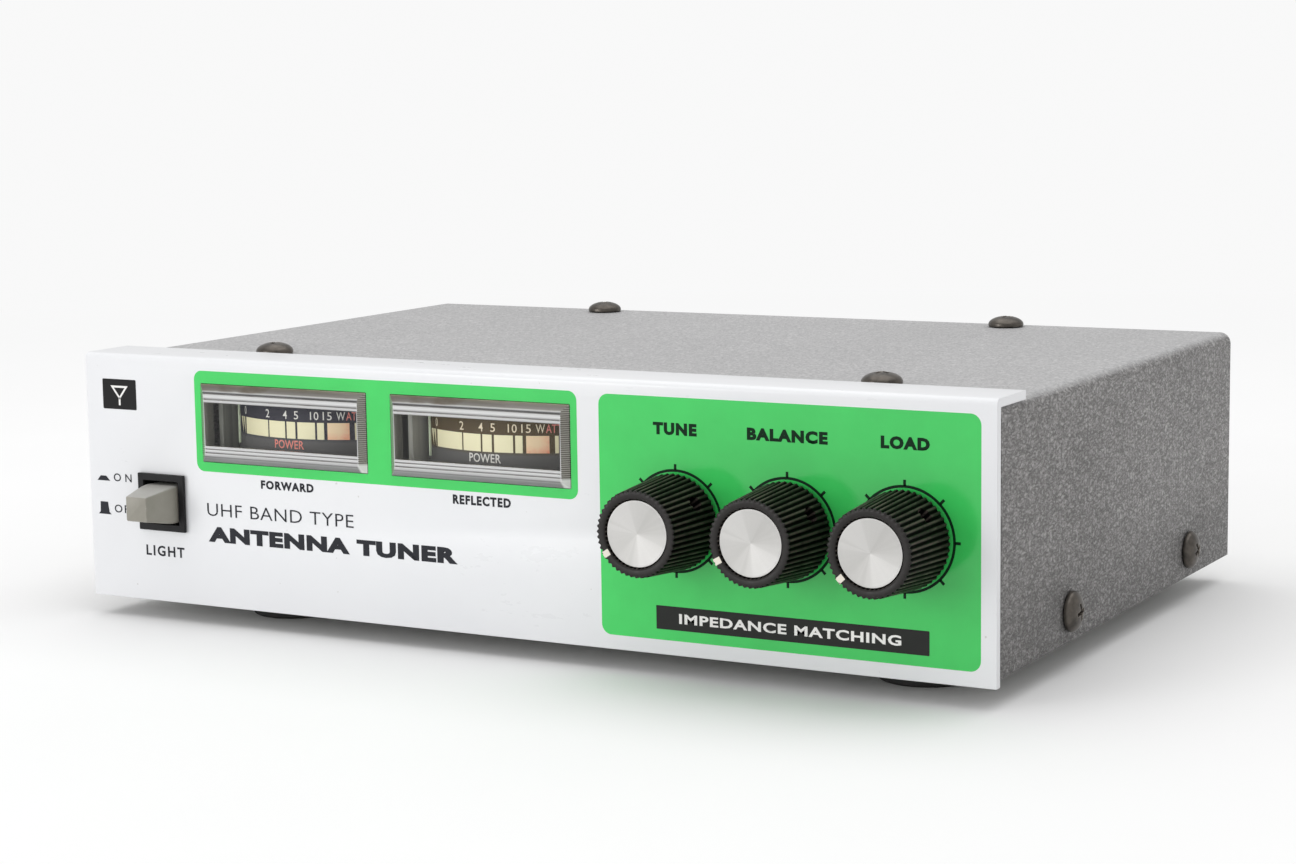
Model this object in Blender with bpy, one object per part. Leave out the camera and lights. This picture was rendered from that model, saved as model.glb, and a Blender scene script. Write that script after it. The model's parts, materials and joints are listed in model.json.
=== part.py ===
"""Antenna tuner in a flat sheet-metal cabinet.

A light front panel carries two edgewise power meters, a push button for the meter
lamps and three control knobs, each on the shaft of a variable capacitor. A grained
cover closes the chassis and is held by truss-head screws. Coaxial sockets are at the
back. Lengths are in metres, +X is to the right seen from the front, the panel faces
-Y, and Z = 0 is the plane that the feet stand on.
"""
import math

import bmesh
import bpy
from mathutils import Matrix

MM = 0.001

# Cabinet. Positions below are measured from the middle of the panel's lower front edge.
PANEL_WIDTH = 240.0 * MM
PANEL_HEIGHT = 60.6 * MM
PANEL_SHEET = 2.0 * MM
PANEL_BEND = 1.4 * MM
FLANGE_DEPTH = 15.9 * MM
CABINET_DEPTH = 158.0 * MM
COVER_SHEET = 1.2 * MM
COVER_BEND = 2.8 * MM
COVER_TOP = 59.0 * MM
COVER_BOTTOM = 1.8 * MM
CHASSIS_SHEET = 1.5 * MM
SIDE_LIP_TOP = 16.0 * MM
FRONT_LIP_BACK = 38.0 * MM
REAR_LIP_FRONT = 143.0 * MM
GAP = 0.3 * MM
FOOT_CLEARANCE = 4.8 * MM

# Cover screws: truss heads on M4 shanks.
SCREW_HEAD_RADIUS = 4.6 * MM
SCREW_HEAD_HEIGHT = 2.6 * MM
SCREW_SHANK_RADIUS = 2.0 * MM
SCREW_LENGTH = 4.2 * MM
SCREW_HOLE_RADIUS = 2.4 * MM
TOP_SCREWS = {
    "front_left": (-82.1 * MM, 26.6 * MM),
    "front_right": (82.9 * MM, 25.4 * MM),
    "rear_left": (-60.0 * MM, 152.0 * MM),
    "rear_right": (61.5 * MM, 152.0 * MM),
}
SIDE_SCREW_Y = {"front": 42.7 * MM, "rear": 125.0 * MM}
SIDE_SCREW_Z = 8.6 * MM

# Feet.
FOOT_RADIUS = 11.5 * MM
FOOT_X = {"left": -75.5 * MM, "right": 94.2 * MM}
FOOT_Y = {"front": 24.0 * MM, "rear": 133.0 * MM}

# Meters. The needle turns about a vertical axis behind a convex dial.
METER_X = {"forward": -60.35 * MM, "reflected": -5.45 * MM}
METER_Z = 44.95 * MM
METER_HALF_WIDTH = 24.0 * MM
METER_HALF_HEIGHT = 9.4 * MM
LENS_FRONT = 1.4 * MM
LENS_BEVEL = 1.5 * MM
LENS_HOLLOW = (0.2 * MM, 7.9 * MM)
LENS_SKIRT = 3.0 * MM
LENS_WALL = 1.2 * MM
CASE_HALF_WIDTH = 21.5 * MM
METER_DEPTH = 49.2 * MM
DIAL_RADIUS = 34.3 * MM
DIAL_PIVOT_Y = 36.15 * MM
DIAL_HALF_ANGLE = math.radians(33.0)
DIAL_SHEET = 0.6 * MM
DIAL_BOTTOM = -7.5 * MM
DIAL_TOP = 6.5 * MM
NEEDLE_RADIUS = 35.9 * MM
NEEDLE_REST = math.radians(-27.0)
NEEDLE_TIP_BOTTOM = -4.95 * MM
NEEDLE_ARM_Z = (6.95 * MM, 7.45 * MM)
COIL_HALF_WIDTH = 5.5 * MM
MAGNET_BORE = 6.6 * MM

# Light switch.
SWITCH_X = -97.1 * MM
SWITCH_Z = 24.7 * MM
BEZEL_HALF = 7.0 * MM
BEZEL_FRONT = 1.1 * MM
BARREL_HALF = 6.2 * MM
BARREL_HOLE_HALF = 5.3 * MM
BARREL_LENGTH = 15.7 * MM
BUTTON_BASE = (4.9 * MM, 4.6 * MM)
BUTTON_FACE = (3.1 * MM, 3.0 * MM)
BUTTON_FRONT = 10.5 * MM
BUTTON_TRAVEL = 4.5 * MM
STEM_HALF = 2.0 * MM
STEM_END = 24.0 * MM
SWITCH_BODY_END = 35.2 * MM

# Controls: three equal variable capacitors with knobs.
CONTROL_X = {"tune": 45.1 * MM, "balance": 72.2 * MM, "load": 99.4 * MM}
CONTROL_Z = 30.05 * MM
KNOB_MARK_ANGLE = {
    "tune": math.radians(213.0),
    "balance": math.radians(209.5),
    "load": math.radians(222.0),
}
KNOB_BASE_RADIUS = 10.75 * MM
KNOB_FACE_RADIUS = 9.5 * MM
KNOB_BACK = 1.0 * MM
KNOB_FRONT = 18.2 * MM
KNOB_CHAMFER = 0.5 * MM
KNOB_RECESS_RADIUS = 7.25 * MM
KNOB_RECESS_FLOOR = 16.4 * MM
INLAY_RADIUS = 6.95 * MM
INLAY_SHEET = 0.8 * MM
SHAFT_RADIUS = 3.0 * MM
SHAFT_FRONT = 15.0 * MM
SET_SCREW_FORWARD = 6.8 * MM
SET_SCREW_RADIUS = 1.5 * MM
BUSHING_RADIUS = 4.5 * MM
BUSHING_FRONT = 2.7 * MM
BUSHING_HOLE_RADIUS = 4.9 * MM
NUT_RADIUS = 6.9 * MM
NUT_THICKNESS = 2.0 * MM
FRAME_HALF_WIDTH = 12.5 * MM
FRAME_HALF_HEIGHT = 16.0 * MM
FRAME_REAR = 39.5 * MM
POST_X = 10.3 * MM
POST_Z = 13.2 * MM
ROTOR_RADIUS = 11.0 * MM
PLATE_SHEET = 0.8 * MM
ROTOR_PLATES_Y = [12.0 * MM, 19.0 * MM, 26.0 * MM]
STATOR_PLATES_Y = [8.5 * MM, 15.5 * MM, 22.5 * MM, 29.5 * MM]

# Sockets in the rear wall.
SOCKET_X = {"input": -34.0 * MM, "output": 34.0 * MM}
SOCKET_Z = 30.0 * MM
SOCKET_FLANGE_HALF = 12.7 * MM
SOCKET_THREAD_RADIUS = 7.9 * MM
SOCKET_HOLE_RADIUS = 6.8 * MM
JACK_X = 84.0 * MM
JACK_Z = 30.0 * MM
JACK_HOLE_RADIUS = 4.4 * MM
SOCKET_MOUTH = 13.0 * MM

REAR_WALL = CABINET_DEPTH - 0.5 * MM
CHASSIS_HALF_WIDTH = PANEL_WIDTH / 2 - COVER_SHEET - GAP
CHASSIS_FRONT = PANEL_SHEET + GAP
LIP_TOP = COVER_TOP - COVER_SHEET - GAP

# Y = 0 lies midway between the knobs' faces and the socket mouths.
PANEL_Y = -(REAR_WALL + SOCKET_MOUTH - KNOB_FRONT) / 2
FORWARD = (math.pi / 2, 0.0, 0.0)
BACKWARD = (-math.pi / 2, 0.0, 0.0)

# Finish of each kind of piece: colour, roughness, metallic.
FINISHES = {
    "panel_metal": ((0.80, 0.80, 0.80), 0.42, 0.35),
    "cover_paint": ((0.23, 0.22, 0.22), 0.62, 0.0),
    "chassis_steel": ((0.55, 0.56, 0.55), 0.35, 0.9),
    "screw_metal": ((0.11, 0.10, 0.085), 0.35, 0.8),
    "rubber": ((0.02, 0.02, 0.02), 0.8, 0.0),
    "clear_plastic": ((0.85, 0.87, 0.86), 0.08, 0.0),
    "meter_plastic": ((0.22, 0.22, 0.20), 0.5, 0.0),
    "dial_print": ((0.10, 0.10, 0.13), 0.55, 0.0),
    "needle_metal": ((0.62, 0.64, 0.52), 0.4, 0.3),
    "copper": ((0.60, 0.28, 0.14), 0.35, 0.9),
    "magnet_steel": ((0.16, 0.16, 0.17), 0.45, 0.8),
    "lamp_glass": ((0.90, 0.86, 0.72), 0.1, 0.0),
    "black_plastic": ((0.015, 0.015, 0.016), 0.4, 0.0),
    "grey_plastic": ((0.33, 0.31, 0.27), 0.5, 0.0),
    "knob_plastic": ((0.020, 0.019, 0.020), 0.38, 0.0),
    "spun_aluminium": ((0.78, 0.78, 0.77), 0.25, 1.0),
    "zinc_steel": ((0.60, 0.60, 0.58), 0.3, 1.0),
    "nickel": ((0.68, 0.66, 0.60), 0.22, 1.0),
    "brass": ((0.70, 0.53, 0.22), 0.3, 1.0),
    "circuit_board": ((0.25, 0.20, 0.08), 0.5, 0.0),
}


# ---------------------------------------------------------------- shapes

def block(x, y, z):
    """A box between the (low, high) limits x, y and z."""
    shape = bmesh.new()
    size = [high - low for low, high in (x, y, z)]
    middle = [(high + low) / 2 for low, high in (x, y, z)]
    bmesh.ops.create_cube(shape, size=1.0)
    bmesh.ops.scale(shape, verts=shape.verts, vec=size)
    bmesh.ops.translate(shape, verts=shape.verts, vec=middle)
    return shape


def prism(outline, axis, start, end):
    """An outline of two coordinates, pulled along the third axis from start to end."""
    place = {
        "X": lambda p: (start, p[0], p[1]),
        "Y": lambda p: (p[0], start, p[1]),
        "Z": lambda p: (p[0], p[1], start),
    }[axis]
    pull = {"X": (end - start, 0, 0), "Y": (0, end - start, 0), "Z": (0, 0, end - start)}[axis]
    shape = bmesh.new()
    face = shape.faces.new([shape.verts.new(place(point)) for point in outline])
    pulled = bmesh.ops.extrude_face_region(shape, geom=[face])["geom"]
    corners = [item for item in pulled if isinstance(item, bmesh.types.BMVert)]
    bmesh.ops.translate(shape, verts=corners, vec=pull)
    bmesh.ops.recalc_face_normals(shape, faces=shape.faces)
    return shape


def arc(centre, radius, start, end, steps):
    """Points of an arc; angles in radians, counted from the first axis."""
    turn = [start + (end - start) * step / steps for step in range(steps + 1)]
    return [(centre[0] + radius * math.cos(a), centre[1] + radius * math.sin(a)) for a in turn]


def rod(axis, centre, radius, start, end, sides=12):
    """A round bar along an axis, between two places on it."""
    circle = arc(centre, radius, 0.0, 2 * math.pi * (sides - 1) / sides, sides - 1)
    return prism(circle, axis, start, end)


def lathe(profile, sides):
    """A turned piece about local Z; profile is (radius, height) and starts and ends on Z."""
    shape = bmesh.new()
    points = [shape.verts.new((radius, 0.0, height)) for radius, height in profile]
    edges = [shape.edges.new(pair) for pair in zip(points, points[1:])]
    bmesh.ops.spin(shape, geom=points + edges, axis=(0, 0, 1), cent=(0, 0, 0),
                   angle=2 * math.pi, steps=sides)
    bmesh.ops.remove_doubles(shape, verts=shape.verts, dist=1e-6)
    bmesh.ops.recalc_face_normals(shape, faces=shape.faces)
    return shape


def ring(profile, sides):
    """A turned piece with an open bore: the profile closes on itself."""
    return lathe(profile + [profile[0]], sides)


def stepped_bar(sections):
    """A bar along Y through rectangles, each given as (y, half width, half height)."""
    shape = bmesh.new()
    loops = []
    for y, half_x, half_z in sections:
        corners = [(-half_x, -half_z), (half_x, -half_z), (half_x, half_z), (-half_x, half_z)]
        loops.append([shape.verts.new((x, y, z)) for x, z in corners])
    for near, far in zip(loops, loops[1:]):
        for side in range(4):
            after = (side + 1) % 4
            shape.faces.new([near[side], near[after], far[after], far[side]])
    shape.faces.new(loops[0])
    shape.faces.new(loops[-1])
    bmesh.ops.recalc_face_normals(shape, faces=shape.faces)
    return shape


def turned(shape, angle, axis):
    """The shape, turned about an axis through its origin."""
    bmesh.ops.transform(shape, matrix=Matrix.Rotation(angle, 4, axis), verts=shape.verts)
    return shape


def moved(shape, by):
    """The shape, moved by a vector."""
    bmesh.ops.translate(shape, verts=shape.verts, vec=by)
    return shape


def together(shapes):
    """Several separate shapes as one."""
    whole = bmesh.new()
    carrier = bpy.data.meshes.new("carrier")
    for shape in shapes:
        shape.to_mesh(carrier)
        shape.free()
        whole.from_mesh(carrier)
    bpy.data.meshes.remove(carrier)
    return whole


# ---------------------------------------------------------------- objects

def finish(name):
    """The material of that name, made once."""
    found = bpy.data.materials.get(name)
    if found:
        return found
    colour, roughness, metallic = FINISHES[name]
    made = bpy.data.materials.new(name)
    made.use_nodes = True
    shader = made.node_tree.nodes["Principled BSDF"]
    shader.inputs["Base Color"].default_value = (*colour, 1.0)
    shader.inputs["Roughness"].default_value = roughness
    shader.inputs["Metallic"].default_value = metallic
    made.diffuse_color = (*colour, 1.0)
    return made


def solid(name, shape, surface, at=(0, 0, 0), turn=(0, 0, 0), smooth=False):
    """One sub-part, placed from the panel's lower front edge."""
    mesh = bpy.data.meshes.new(name)
    shape.to_mesh(mesh)
    shape.free()
    mesh.materials.append(finish(surface))
    if smooth:
        mesh.shade_smooth()
        mesh.set_sharp_from_angle(angle=math.radians(35))
    piece = bpy.data.objects.new(name, mesh)
    bpy.context.collection.objects.link(piece)
    piece.parent = bpy.data.objects["panel_edge"]
    piece.location = at
    piece.rotation_euler = turn
    return piece


def combine(piece, shapes, operation):
    """Add shapes to a piece or cut them from it, in the piece's own coordinates."""
    for number, shape in enumerate(shapes):
        tool = solid(f"{piece.name}.{operation.lower()}{number}", shape, "chassis_steel",
                     piece.location, piece.rotation_euler)
        tool.hide_render = True
        tool.display_type = "WIRE"
        change = piece.modifiers.new(operation, "BOOLEAN")
        change.operation = operation
        change.solver = "EXACT"
        change.object = tool


def cut(piece, *shapes):
    combine(piece, shapes, "DIFFERENCE")


def add(piece, *shapes):
    combine(piece, shapes, "UNION")


# ---------------------------------------------------------------- cabinet

def panel_openings(clearance, start, end):
    """The openings that the meters, the switch and the shafts need in a front sheet."""
    meters = [
        block((x - METER_HALF_WIDTH - clearance, x + METER_HALF_WIDTH + clearance), (start, end),
              (METER_Z - METER_HALF_HEIGHT - clearance, METER_Z + METER_HALF_HEIGHT + clearance))
        for x in METER_X.values()
    ]
    half = BARREL_HALF + clearance
    switch = block((SWITCH_X - half, SWITCH_X + half), (start, end), (SWITCH_Z - half, SWITCH_Z + half))
    shafts = [rod("Y", (x, CONTROL_Z), BUSHING_HOLE_RADIUS, start, end) for x in CONTROL_X.values()]
    return together(meters + [switch] + shafts)


def front_panel():
    outline = [(0, 0), (PANEL_SHEET, 0), (PANEL_SHEET, PANEL_HEIGHT - PANEL_SHEET)]
    outline += [(FLANGE_DEPTH, PANEL_HEIGHT - PANEL_SHEET), (FLANGE_DEPTH, PANEL_HEIGHT)]
    corner = (PANEL_BEND, PANEL_HEIGHT - PANEL_BEND)
    outline += arc(corner, PANEL_BEND, math.pi / 2, math.pi, 4)
    panel = solid("front_panel", prism(outline, "X", -PANEL_WIDTH / 2, PANEL_WIDTH / 2), "panel_metal")
    cut(panel, panel_openings(GAP, -PANEL_SHEET, 2 * PANEL_SHEET))


def bent_outline(half_width, top, bend):
    """The open side of an upside-down U, from its left foot to its right foot."""
    left = arc((-half_width + bend, top - bend), bend, math.pi, math.pi / 2, 4)
    right = arc((half_width - bend, top - bend), bend, math.pi / 2, 0.0, 4)
    return [(-half_width, COVER_BOTTOM)] + left + right + [(half_width, COVER_BOTTOM)]


def screw_holes():
    """Clearance holes for the cover screws, through the cover or the chassis lips."""
    top = [rod("Z", place, SCREW_HOLE_RADIUS, LIP_TOP - 5 * MM, COVER_TOP + 5 * MM)
           for place in TOP_SCREWS.values()]
    inner = CHASSIS_HALF_WIDTH - 5 * MM
    outer = PANEL_WIDTH / 2 + 5 * MM
    side = [rod("X", (y, SIDE_SCREW_Z), SCREW_HOLE_RADIUS, side * inner, side * outer)
            for y in SIDE_SCREW_Y.values() for side in (-1, 1)]
    return together(top + side)


def cover():
    outer = bent_outline(PANEL_WIDTH / 2, COVER_TOP, COVER_BEND)
    inner = bent_outline(PANEL_WIDTH / 2 - COVER_SHEET, COVER_TOP - COVER_SHEET,
                         COVER_BEND - COVER_SHEET)
    sheet = prism(outer + inner[::-1], "Y", CHASSIS_FRONT, CABINET_DEPTH)
    shell = solid("cover", sheet, "cover_paint")
    notch_floor = PANEL_HEIGHT - PANEL_SHEET - GAP
    above = COVER_TOP + 10 * MM
    inside = PANEL_WIDTH / 2 - COVER_SHEET
    outside = PANEL_WIDTH / 2 + 10 * MM
    below = COVER_TOP - 10 * MM
    notch = [(-outside, notch_floor), (-outside, above), (outside, above), (outside, notch_floor),
             (inside, notch_floor), (inside, below), (-inside, below), (-inside, notch_floor)]
    cut(shell, together([prism(notch, "Y", -PANEL_SHEET, FLANGE_DEPTH + GAP), screw_holes()]))


def chassis():
    half = CHASSIS_HALF_WIDTH
    sheet = CHASSIS_SHEET
    middle = (CHASSIS_FRONT + sheet, REAR_WALL - sheet)
    corner = COVER_BEND
    outline = [(-half, COVER_BOTTOM), (half, COVER_BOTTOM), (half, LIP_TOP - corner),
               (half - corner, LIP_TOP), (corner - half, LIP_TOP), (-half, LIP_TOP - corner)]
    frame = solid("chassis", prism(outline, "Y", CHASSIS_FRONT, REAR_WALL), "chassis_steel")
    inside = block((sheet - half, half - sheet), middle, (COVER_BOTTOM + sheet, LIP_TOP - sheet))
    open_top = block((-2 * half, 2 * half), (FRONT_LIP_BACK, REAR_LIP_FRONT),
                     (SIDE_LIP_TOP + sheet, 2 * LIP_TOP))
    open_sides = [block((side * half - 2 * sheet, side * half + 2 * sheet), middle,
                        (SIDE_LIP_TOP, LIP_TOP + sheet)) for side in (-1, 1)]
    cut(frame, inside, open_top, together(open_sides))
    sockets = [rod("Y", (x, SOCKET_Z), SOCKET_HOLE_RADIUS, REAR_WALL - 5 * MM, REAR_WALL + 5 * MM)
               for x in SOCKET_X.values()]
    jack = rod("Y", (JACK_X, JACK_Z), JACK_HOLE_RADIUS, REAR_WALL - 5 * MM, REAR_WALL + 5 * MM)
    openings = panel_openings(GAP, 0.0, 3 * PANEL_SHEET)
    cut(frame, together([openings, screw_holes(), jack] + sockets))


def cover_screw(name, at, turn):
    """A truss-head screw; local Z = 0 is the cover's surface."""
    dome = arc((0, 0), 1.0, 0.0, math.pi / 2, 4)
    head = [(SCREW_HEAD_RADIUS * x, GAP + SCREW_HEAD_HEIGHT * (0.18 + 0.82 * z)) for x, z in dome]
    head[-1] = (0.0, head[-1][1])
    shank = [(0, -SCREW_LENGTH), (SCREW_SHANK_RADIUS, -SCREW_LENGTH), (SCREW_SHANK_RADIUS, GAP),
             (SCREW_HEAD_RADIUS, GAP)]
    screw = solid(name, lathe(shank + head, 16), "screw_metal", at, turn, smooth=True)
    wide = 2.1 * MM
    thin = 0.45 * MM
    cross = [(wide, -thin), (wide, thin), (thin, thin), (thin, wide), (-thin, wide), (-thin, thin),
             (-wide, thin), (-wide, -thin), (-thin, -thin), (-thin, -wide), (thin, -wide), (thin, -thin)]
    cut(screw, prism(cross, "Z", SCREW_HEAD_HEIGHT * 0.45, 2 * SCREW_HEAD_HEIGHT))


def cover_screws():
    for place, (x, y) in TOP_SCREWS.items():
        cover_screw(f"cover_screw_top_{place}", (x, y, COVER_TOP), (0, 0, 0))
    for end, y in SIDE_SCREW_Y.items():
        for side, sign in (("left", -1), ("right", 1)):
            cover_screw(f"cover_screw_{side}_{end}", (sign * PANEL_WIDTH / 2, y, SIDE_SCREW_Z),
                        (0, sign * math.pi / 2, 0))


def feet():
    height = FOOT_CLEARANCE + COVER_BOTTOM - GAP
    profile = [(0, 0), (FOOT_RADIUS - 1.2 * MM, 0), (FOOT_RADIUS - 0.5 * MM, 0.7 * MM),
               (FOOT_RADIUS, height), (0, height)]
    for end, y in FOOT_Y.items():
        for side, x in FOOT_X.items():
            solid(f"foot_{end}_{side}", lathe(profile, 20), "rubber", (x, y, -FOOT_CLEARANCE), smooth=True)


# ---------------------------------------------------------------- meters

def meter(name, x):
    """A meter: case and lens, curved dial, magnet and lamp, and the turning coil and needle."""
    at = (x, 0, METER_Z)
    wide = METER_HALF_WIDTH
    tall = METER_HALF_HEIGHT
    inner = wide - LENS_WALL
    bar = [(-LENS_FRONT, wide - LENS_BEVEL, tall - LENS_BEVEL), (-GAP, wide, tall), (LENS_SKIRT, wide, tall)]
    lens = solid(f"{name}_lens", stepped_bar(bar), "clear_plastic", at)
    hollow_front, hollow_half = LENS_HOLLOW
    cut(lens, block((-inner, inner), (-hollow_front, 2 * LENS_SKIRT), (-hollow_half, hollow_half)))

    half = CASE_HALF_WIDTH
    case = solid(f"{name}_case", block((-half, half), (LENS_SKIRT + GAP, METER_DEPTH), (-tall, tall)),
                 "meter_plastic", at)
    half -= LENS_WALL
    cut(case, block((-half, half), (0, METER_DEPTH - LENS_WALL), (LENS_WALL - tall, tall - LENS_WALL)))

    pivot = (0, DIAL_PIVOT_Y)
    first = -math.pi / 2 - DIAL_HALF_ANGLE
    last = -math.pi / 2 + DIAL_HALF_ANGLE
    sheet = arc(pivot, DIAL_RADIUS, first, last, 10)
    sheet += arc(pivot, DIAL_RADIUS - DIAL_SHEET, last, first, 10)
    solid(f"{name}_dial", prism(sheet, "Z", DIAL_BOTTOM, DIAL_TOP), "dial_print", at, smooth=True)

    lamp_profile = [(0, -7.9 * MM), (2.2 * MM, -7.9 * MM), (2.2 * MM, -5.5 * MM)]
    lamp_profile += [(1.9 * MM, -5.5 * MM), (1.9 * MM, 2.0 * MM), (1.3 * MM, 3.4 * MM), (0, 4.0 * MM)]
    solid(f"{name}_lamp", lathe(lamp_profile, 12), "lamp_glass", (x, 16 * MM, METER_Z), smooth=True)

    axis = (x, DIAL_PIVOT_Y, METER_Z)
    magnet = solid(f"{name}_magnet", block((-9.5 * MM, 9.5 * MM), (-8 * MM, 9 * MM), (-7.9 * MM, 5.2 * MM)),
                   "magnet_steel", axis)
    cut(magnet, rod("Z", (0, 0), MAGNET_BORE, -10 * MM, 10 * MM, 16))

    thin = 0.8 * MM
    loop = block((-COIL_HALF_WIDTH, COIL_HALF_WIDTH), (-thin, thin), (-6.3 * MM, 6.3 * MM))
    coil = solid(f"{name}_coil", turned(loop, NEEDLE_REST, "Z"), "copper", axis)
    window = COIL_HALF_WIDTH - thin
    cut(coil, turned(block((-window, window), (-2 * thin, 2 * thin), (-5.5 * MM, 5.5 * MM)),
                     NEEDLE_REST, "Z"))
    add(coil, rod("Z", (0, 0), 0.4 * MM, 6.0 * MM, 6.6 * MM, 8),
        rod("Z", (0, 0), 0.4 * MM, -7.2 * MM, -6.0 * MM, 8))

    arm = block((-0.3 * MM, 0.3 * MM), (0.2 * MM - NEEDLE_RADIUS, 5 * MM), NEEDLE_ARM_Z)
    tip = block((-0.2 * MM, 0.2 * MM), (-NEEDLE_RADIUS, 0.45 * MM - NEEDLE_RADIUS),
                (NEEDLE_TIP_BOTTOM, sum(NEEDLE_ARM_Z) / 2))
    hub = rod("Z", (0, 0), 1.6 * MM, NEEDLE_ARM_Z[0] - 0.05 * MM, NEEDLE_ARM_Z[1] + 0.15 * MM, 12)
    needle = solid(f"{name}_needle", turned(arm, NEEDLE_REST, "Z"), "needle_metal", axis)
    add(needle, turned(tip, NEEDLE_REST, "Z"), hub)


# ---------------------------------------------------------------- light switch

def light_switch():
    at = (SWITCH_X, 0, SWITCH_Z)
    housing = [(-BEZEL_FRONT, BEZEL_HALF, BEZEL_HALF), (-GAP, BEZEL_HALF, BEZEL_HALF),
               (-GAP, BARREL_HALF, BARREL_HALF), (BARREL_LENGTH, BARREL_HALF, BARREL_HALF)]
    bezel = solid("switch_bezel", stepped_bar(housing), "black_plastic", at)
    hole = (-BARREL_HOLE_HALF, BARREL_HOLE_HALF)
    cut(bezel, block(hole, (-2 * BEZEL_FRONT, 2 * BARREL_LENGTH), hole))

    body_front = BARREL_LENGTH + GAP
    body = solid("switch_body", block((-BARREL_HALF, BARREL_HALF), (body_front, SWITCH_BODY_END),
                                      (-BARREL_HALF, BARREL_HALF)), "meter_plastic", at)
    guide = (-STEM_HALF - GAP, STEM_HALF + GAP)
    guide_end = SWITCH_BODY_END - LENS_WALL
    cut(body, block(guide, (0, guide_end), guide))

    shoulder = 5.5 * MM
    sections = [(-BUTTON_FRONT, *BUTTON_FACE), (-BUTTON_FRONT + 0.4 * MM, BUTTON_FACE[0] + 0.3 * MM,
                                                BUTTON_FACE[1] + 0.3 * MM),
                (-0.9 * MM, *BUTTON_BASE), (shoulder, *BUTTON_BASE),
                (shoulder, STEM_HALF, STEM_HALF), (STEM_END, STEM_HALF, STEM_HALF)]
    solid("switch_button", stepped_bar(sections), "grey_plastic", at)

    start = STEM_END + BUTTON_TRAVEL + 2 * GAP
    spring_coil("switch_spring", at, start, guide_end - GAP)


def spring_coil(name, at, start, end, turns=4, steps=8):
    """A return spring along Y, at its pressed length."""
    wire = 0.25 * MM
    radius = 1.7 * MM
    path = bpy.data.curves.new(name, "CURVE")
    path.dimensions = "3D"
    path.bevel_depth = wire
    path.bevel_resolution = 0
    path.use_fill_caps = True
    line = path.splines.new("POLY")
    line.points.add(turns * steps)
    for number, point in enumerate(line.points):
        turn = 2 * math.pi * number / steps
        share = number / (turns * steps)
        along = start + wire + (end - start - 2 * wire) * share
        point.co = (radius * math.cos(turn), along, radius * math.sin(turn), 1.0)
    path.materials.append(finish("zinc_steel"))
    spring = bpy.data.objects.new(name, path)
    bpy.context.collection.objects.link(spring)
    spring.parent = bpy.data.objects["panel_edge"]
    spring.location = at


# ---------------------------------------------------------------- controls

def control(name, x, mark):
    """A knob and the variable capacitor that it turns. Local Z of the knob points forward."""
    at = (x, 0, CONTROL_Z)
    profile = [(0, KNOB_RECESS_FLOOR), (KNOB_RECESS_RADIUS, KNOB_RECESS_FLOOR),
               (KNOB_RECESS_RADIUS, KNOB_FRONT), (KNOB_FACE_RADIUS - KNOB_CHAMFER, KNOB_FRONT),
               (KNOB_FACE_RADIUS, KNOB_FRONT - KNOB_CHAMFER), (KNOB_BASE_RADIUS, KNOB_BACK),
               (KNOB_BASE_RADIUS - 2 * MM, KNOB_BACK), (KNOB_BASE_RADIUS - 2 * MM, 3.4 * MM),
               (SHAFT_RADIUS + GAP, 3.4 * MM), (SHAFT_RADIUS + GAP, SHAFT_FRONT + GAP),
               (0, SHAFT_FRONT + GAP)]
    knob = solid(f"{name}_knob", lathe(profile, 28), "knob_plastic", at, FORWARD, smooth=True)
    screw_turn = mark + math.pi
    hole = moved(rod("X", (0, 0), SET_SCREW_RADIUS + GAP, SHAFT_RADIUS - MM, 12 * MM, 10),
                 (0, 0, SET_SCREW_FORWARD))
    cut(knob, turned(hole, screw_turn, "Z"))

    top = KNOB_RECESS_FLOOR + GAP + INLAY_SHEET
    disc = [(0, KNOB_RECESS_FLOOR + GAP), (INLAY_RADIUS, KNOB_RECESS_FLOOR + GAP),
            (INLAY_RADIUS, top - 0.1 * MM), (INLAY_RADIUS - 0.15 * MM, top), (0, top)]
    solid(f"{name}_knob_inlay", lathe(disc, 28), "spun_aluminium", at, FORWARD, smooth=True)

    grub = moved(rod("X", (0, 0), SET_SCREW_RADIUS, SHAFT_RADIUS + GAP, 8.2 * MM, 10),
                 (0, 0, SET_SCREW_FORWARD))
    set_screw = solid(f"{name}_set_screw", turned(grub, screw_turn, "Z"), "zinc_steel", at, FORWARD)
    socket = moved(rod("X", (0, 0), 0.75 * MM, 6.6 * MM, 10 * MM, 6), (0, 0, SET_SCREW_FORWARD))
    cut(set_screw, turned(socket, screw_turn, "Z"))

    nut = solid(f"{name}_bushing_nut", rod("Z", (0, 0), NUT_RADIUS, GAP, GAP + NUT_THICKNESS, 6),
                "nickel", at, FORWARD)
    cut(nut, rod("Z", (0, 0), BUSHING_RADIUS + GAP, -MM, 4 * MM, 16))

    variable_capacitor(name, at, mark)


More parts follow.
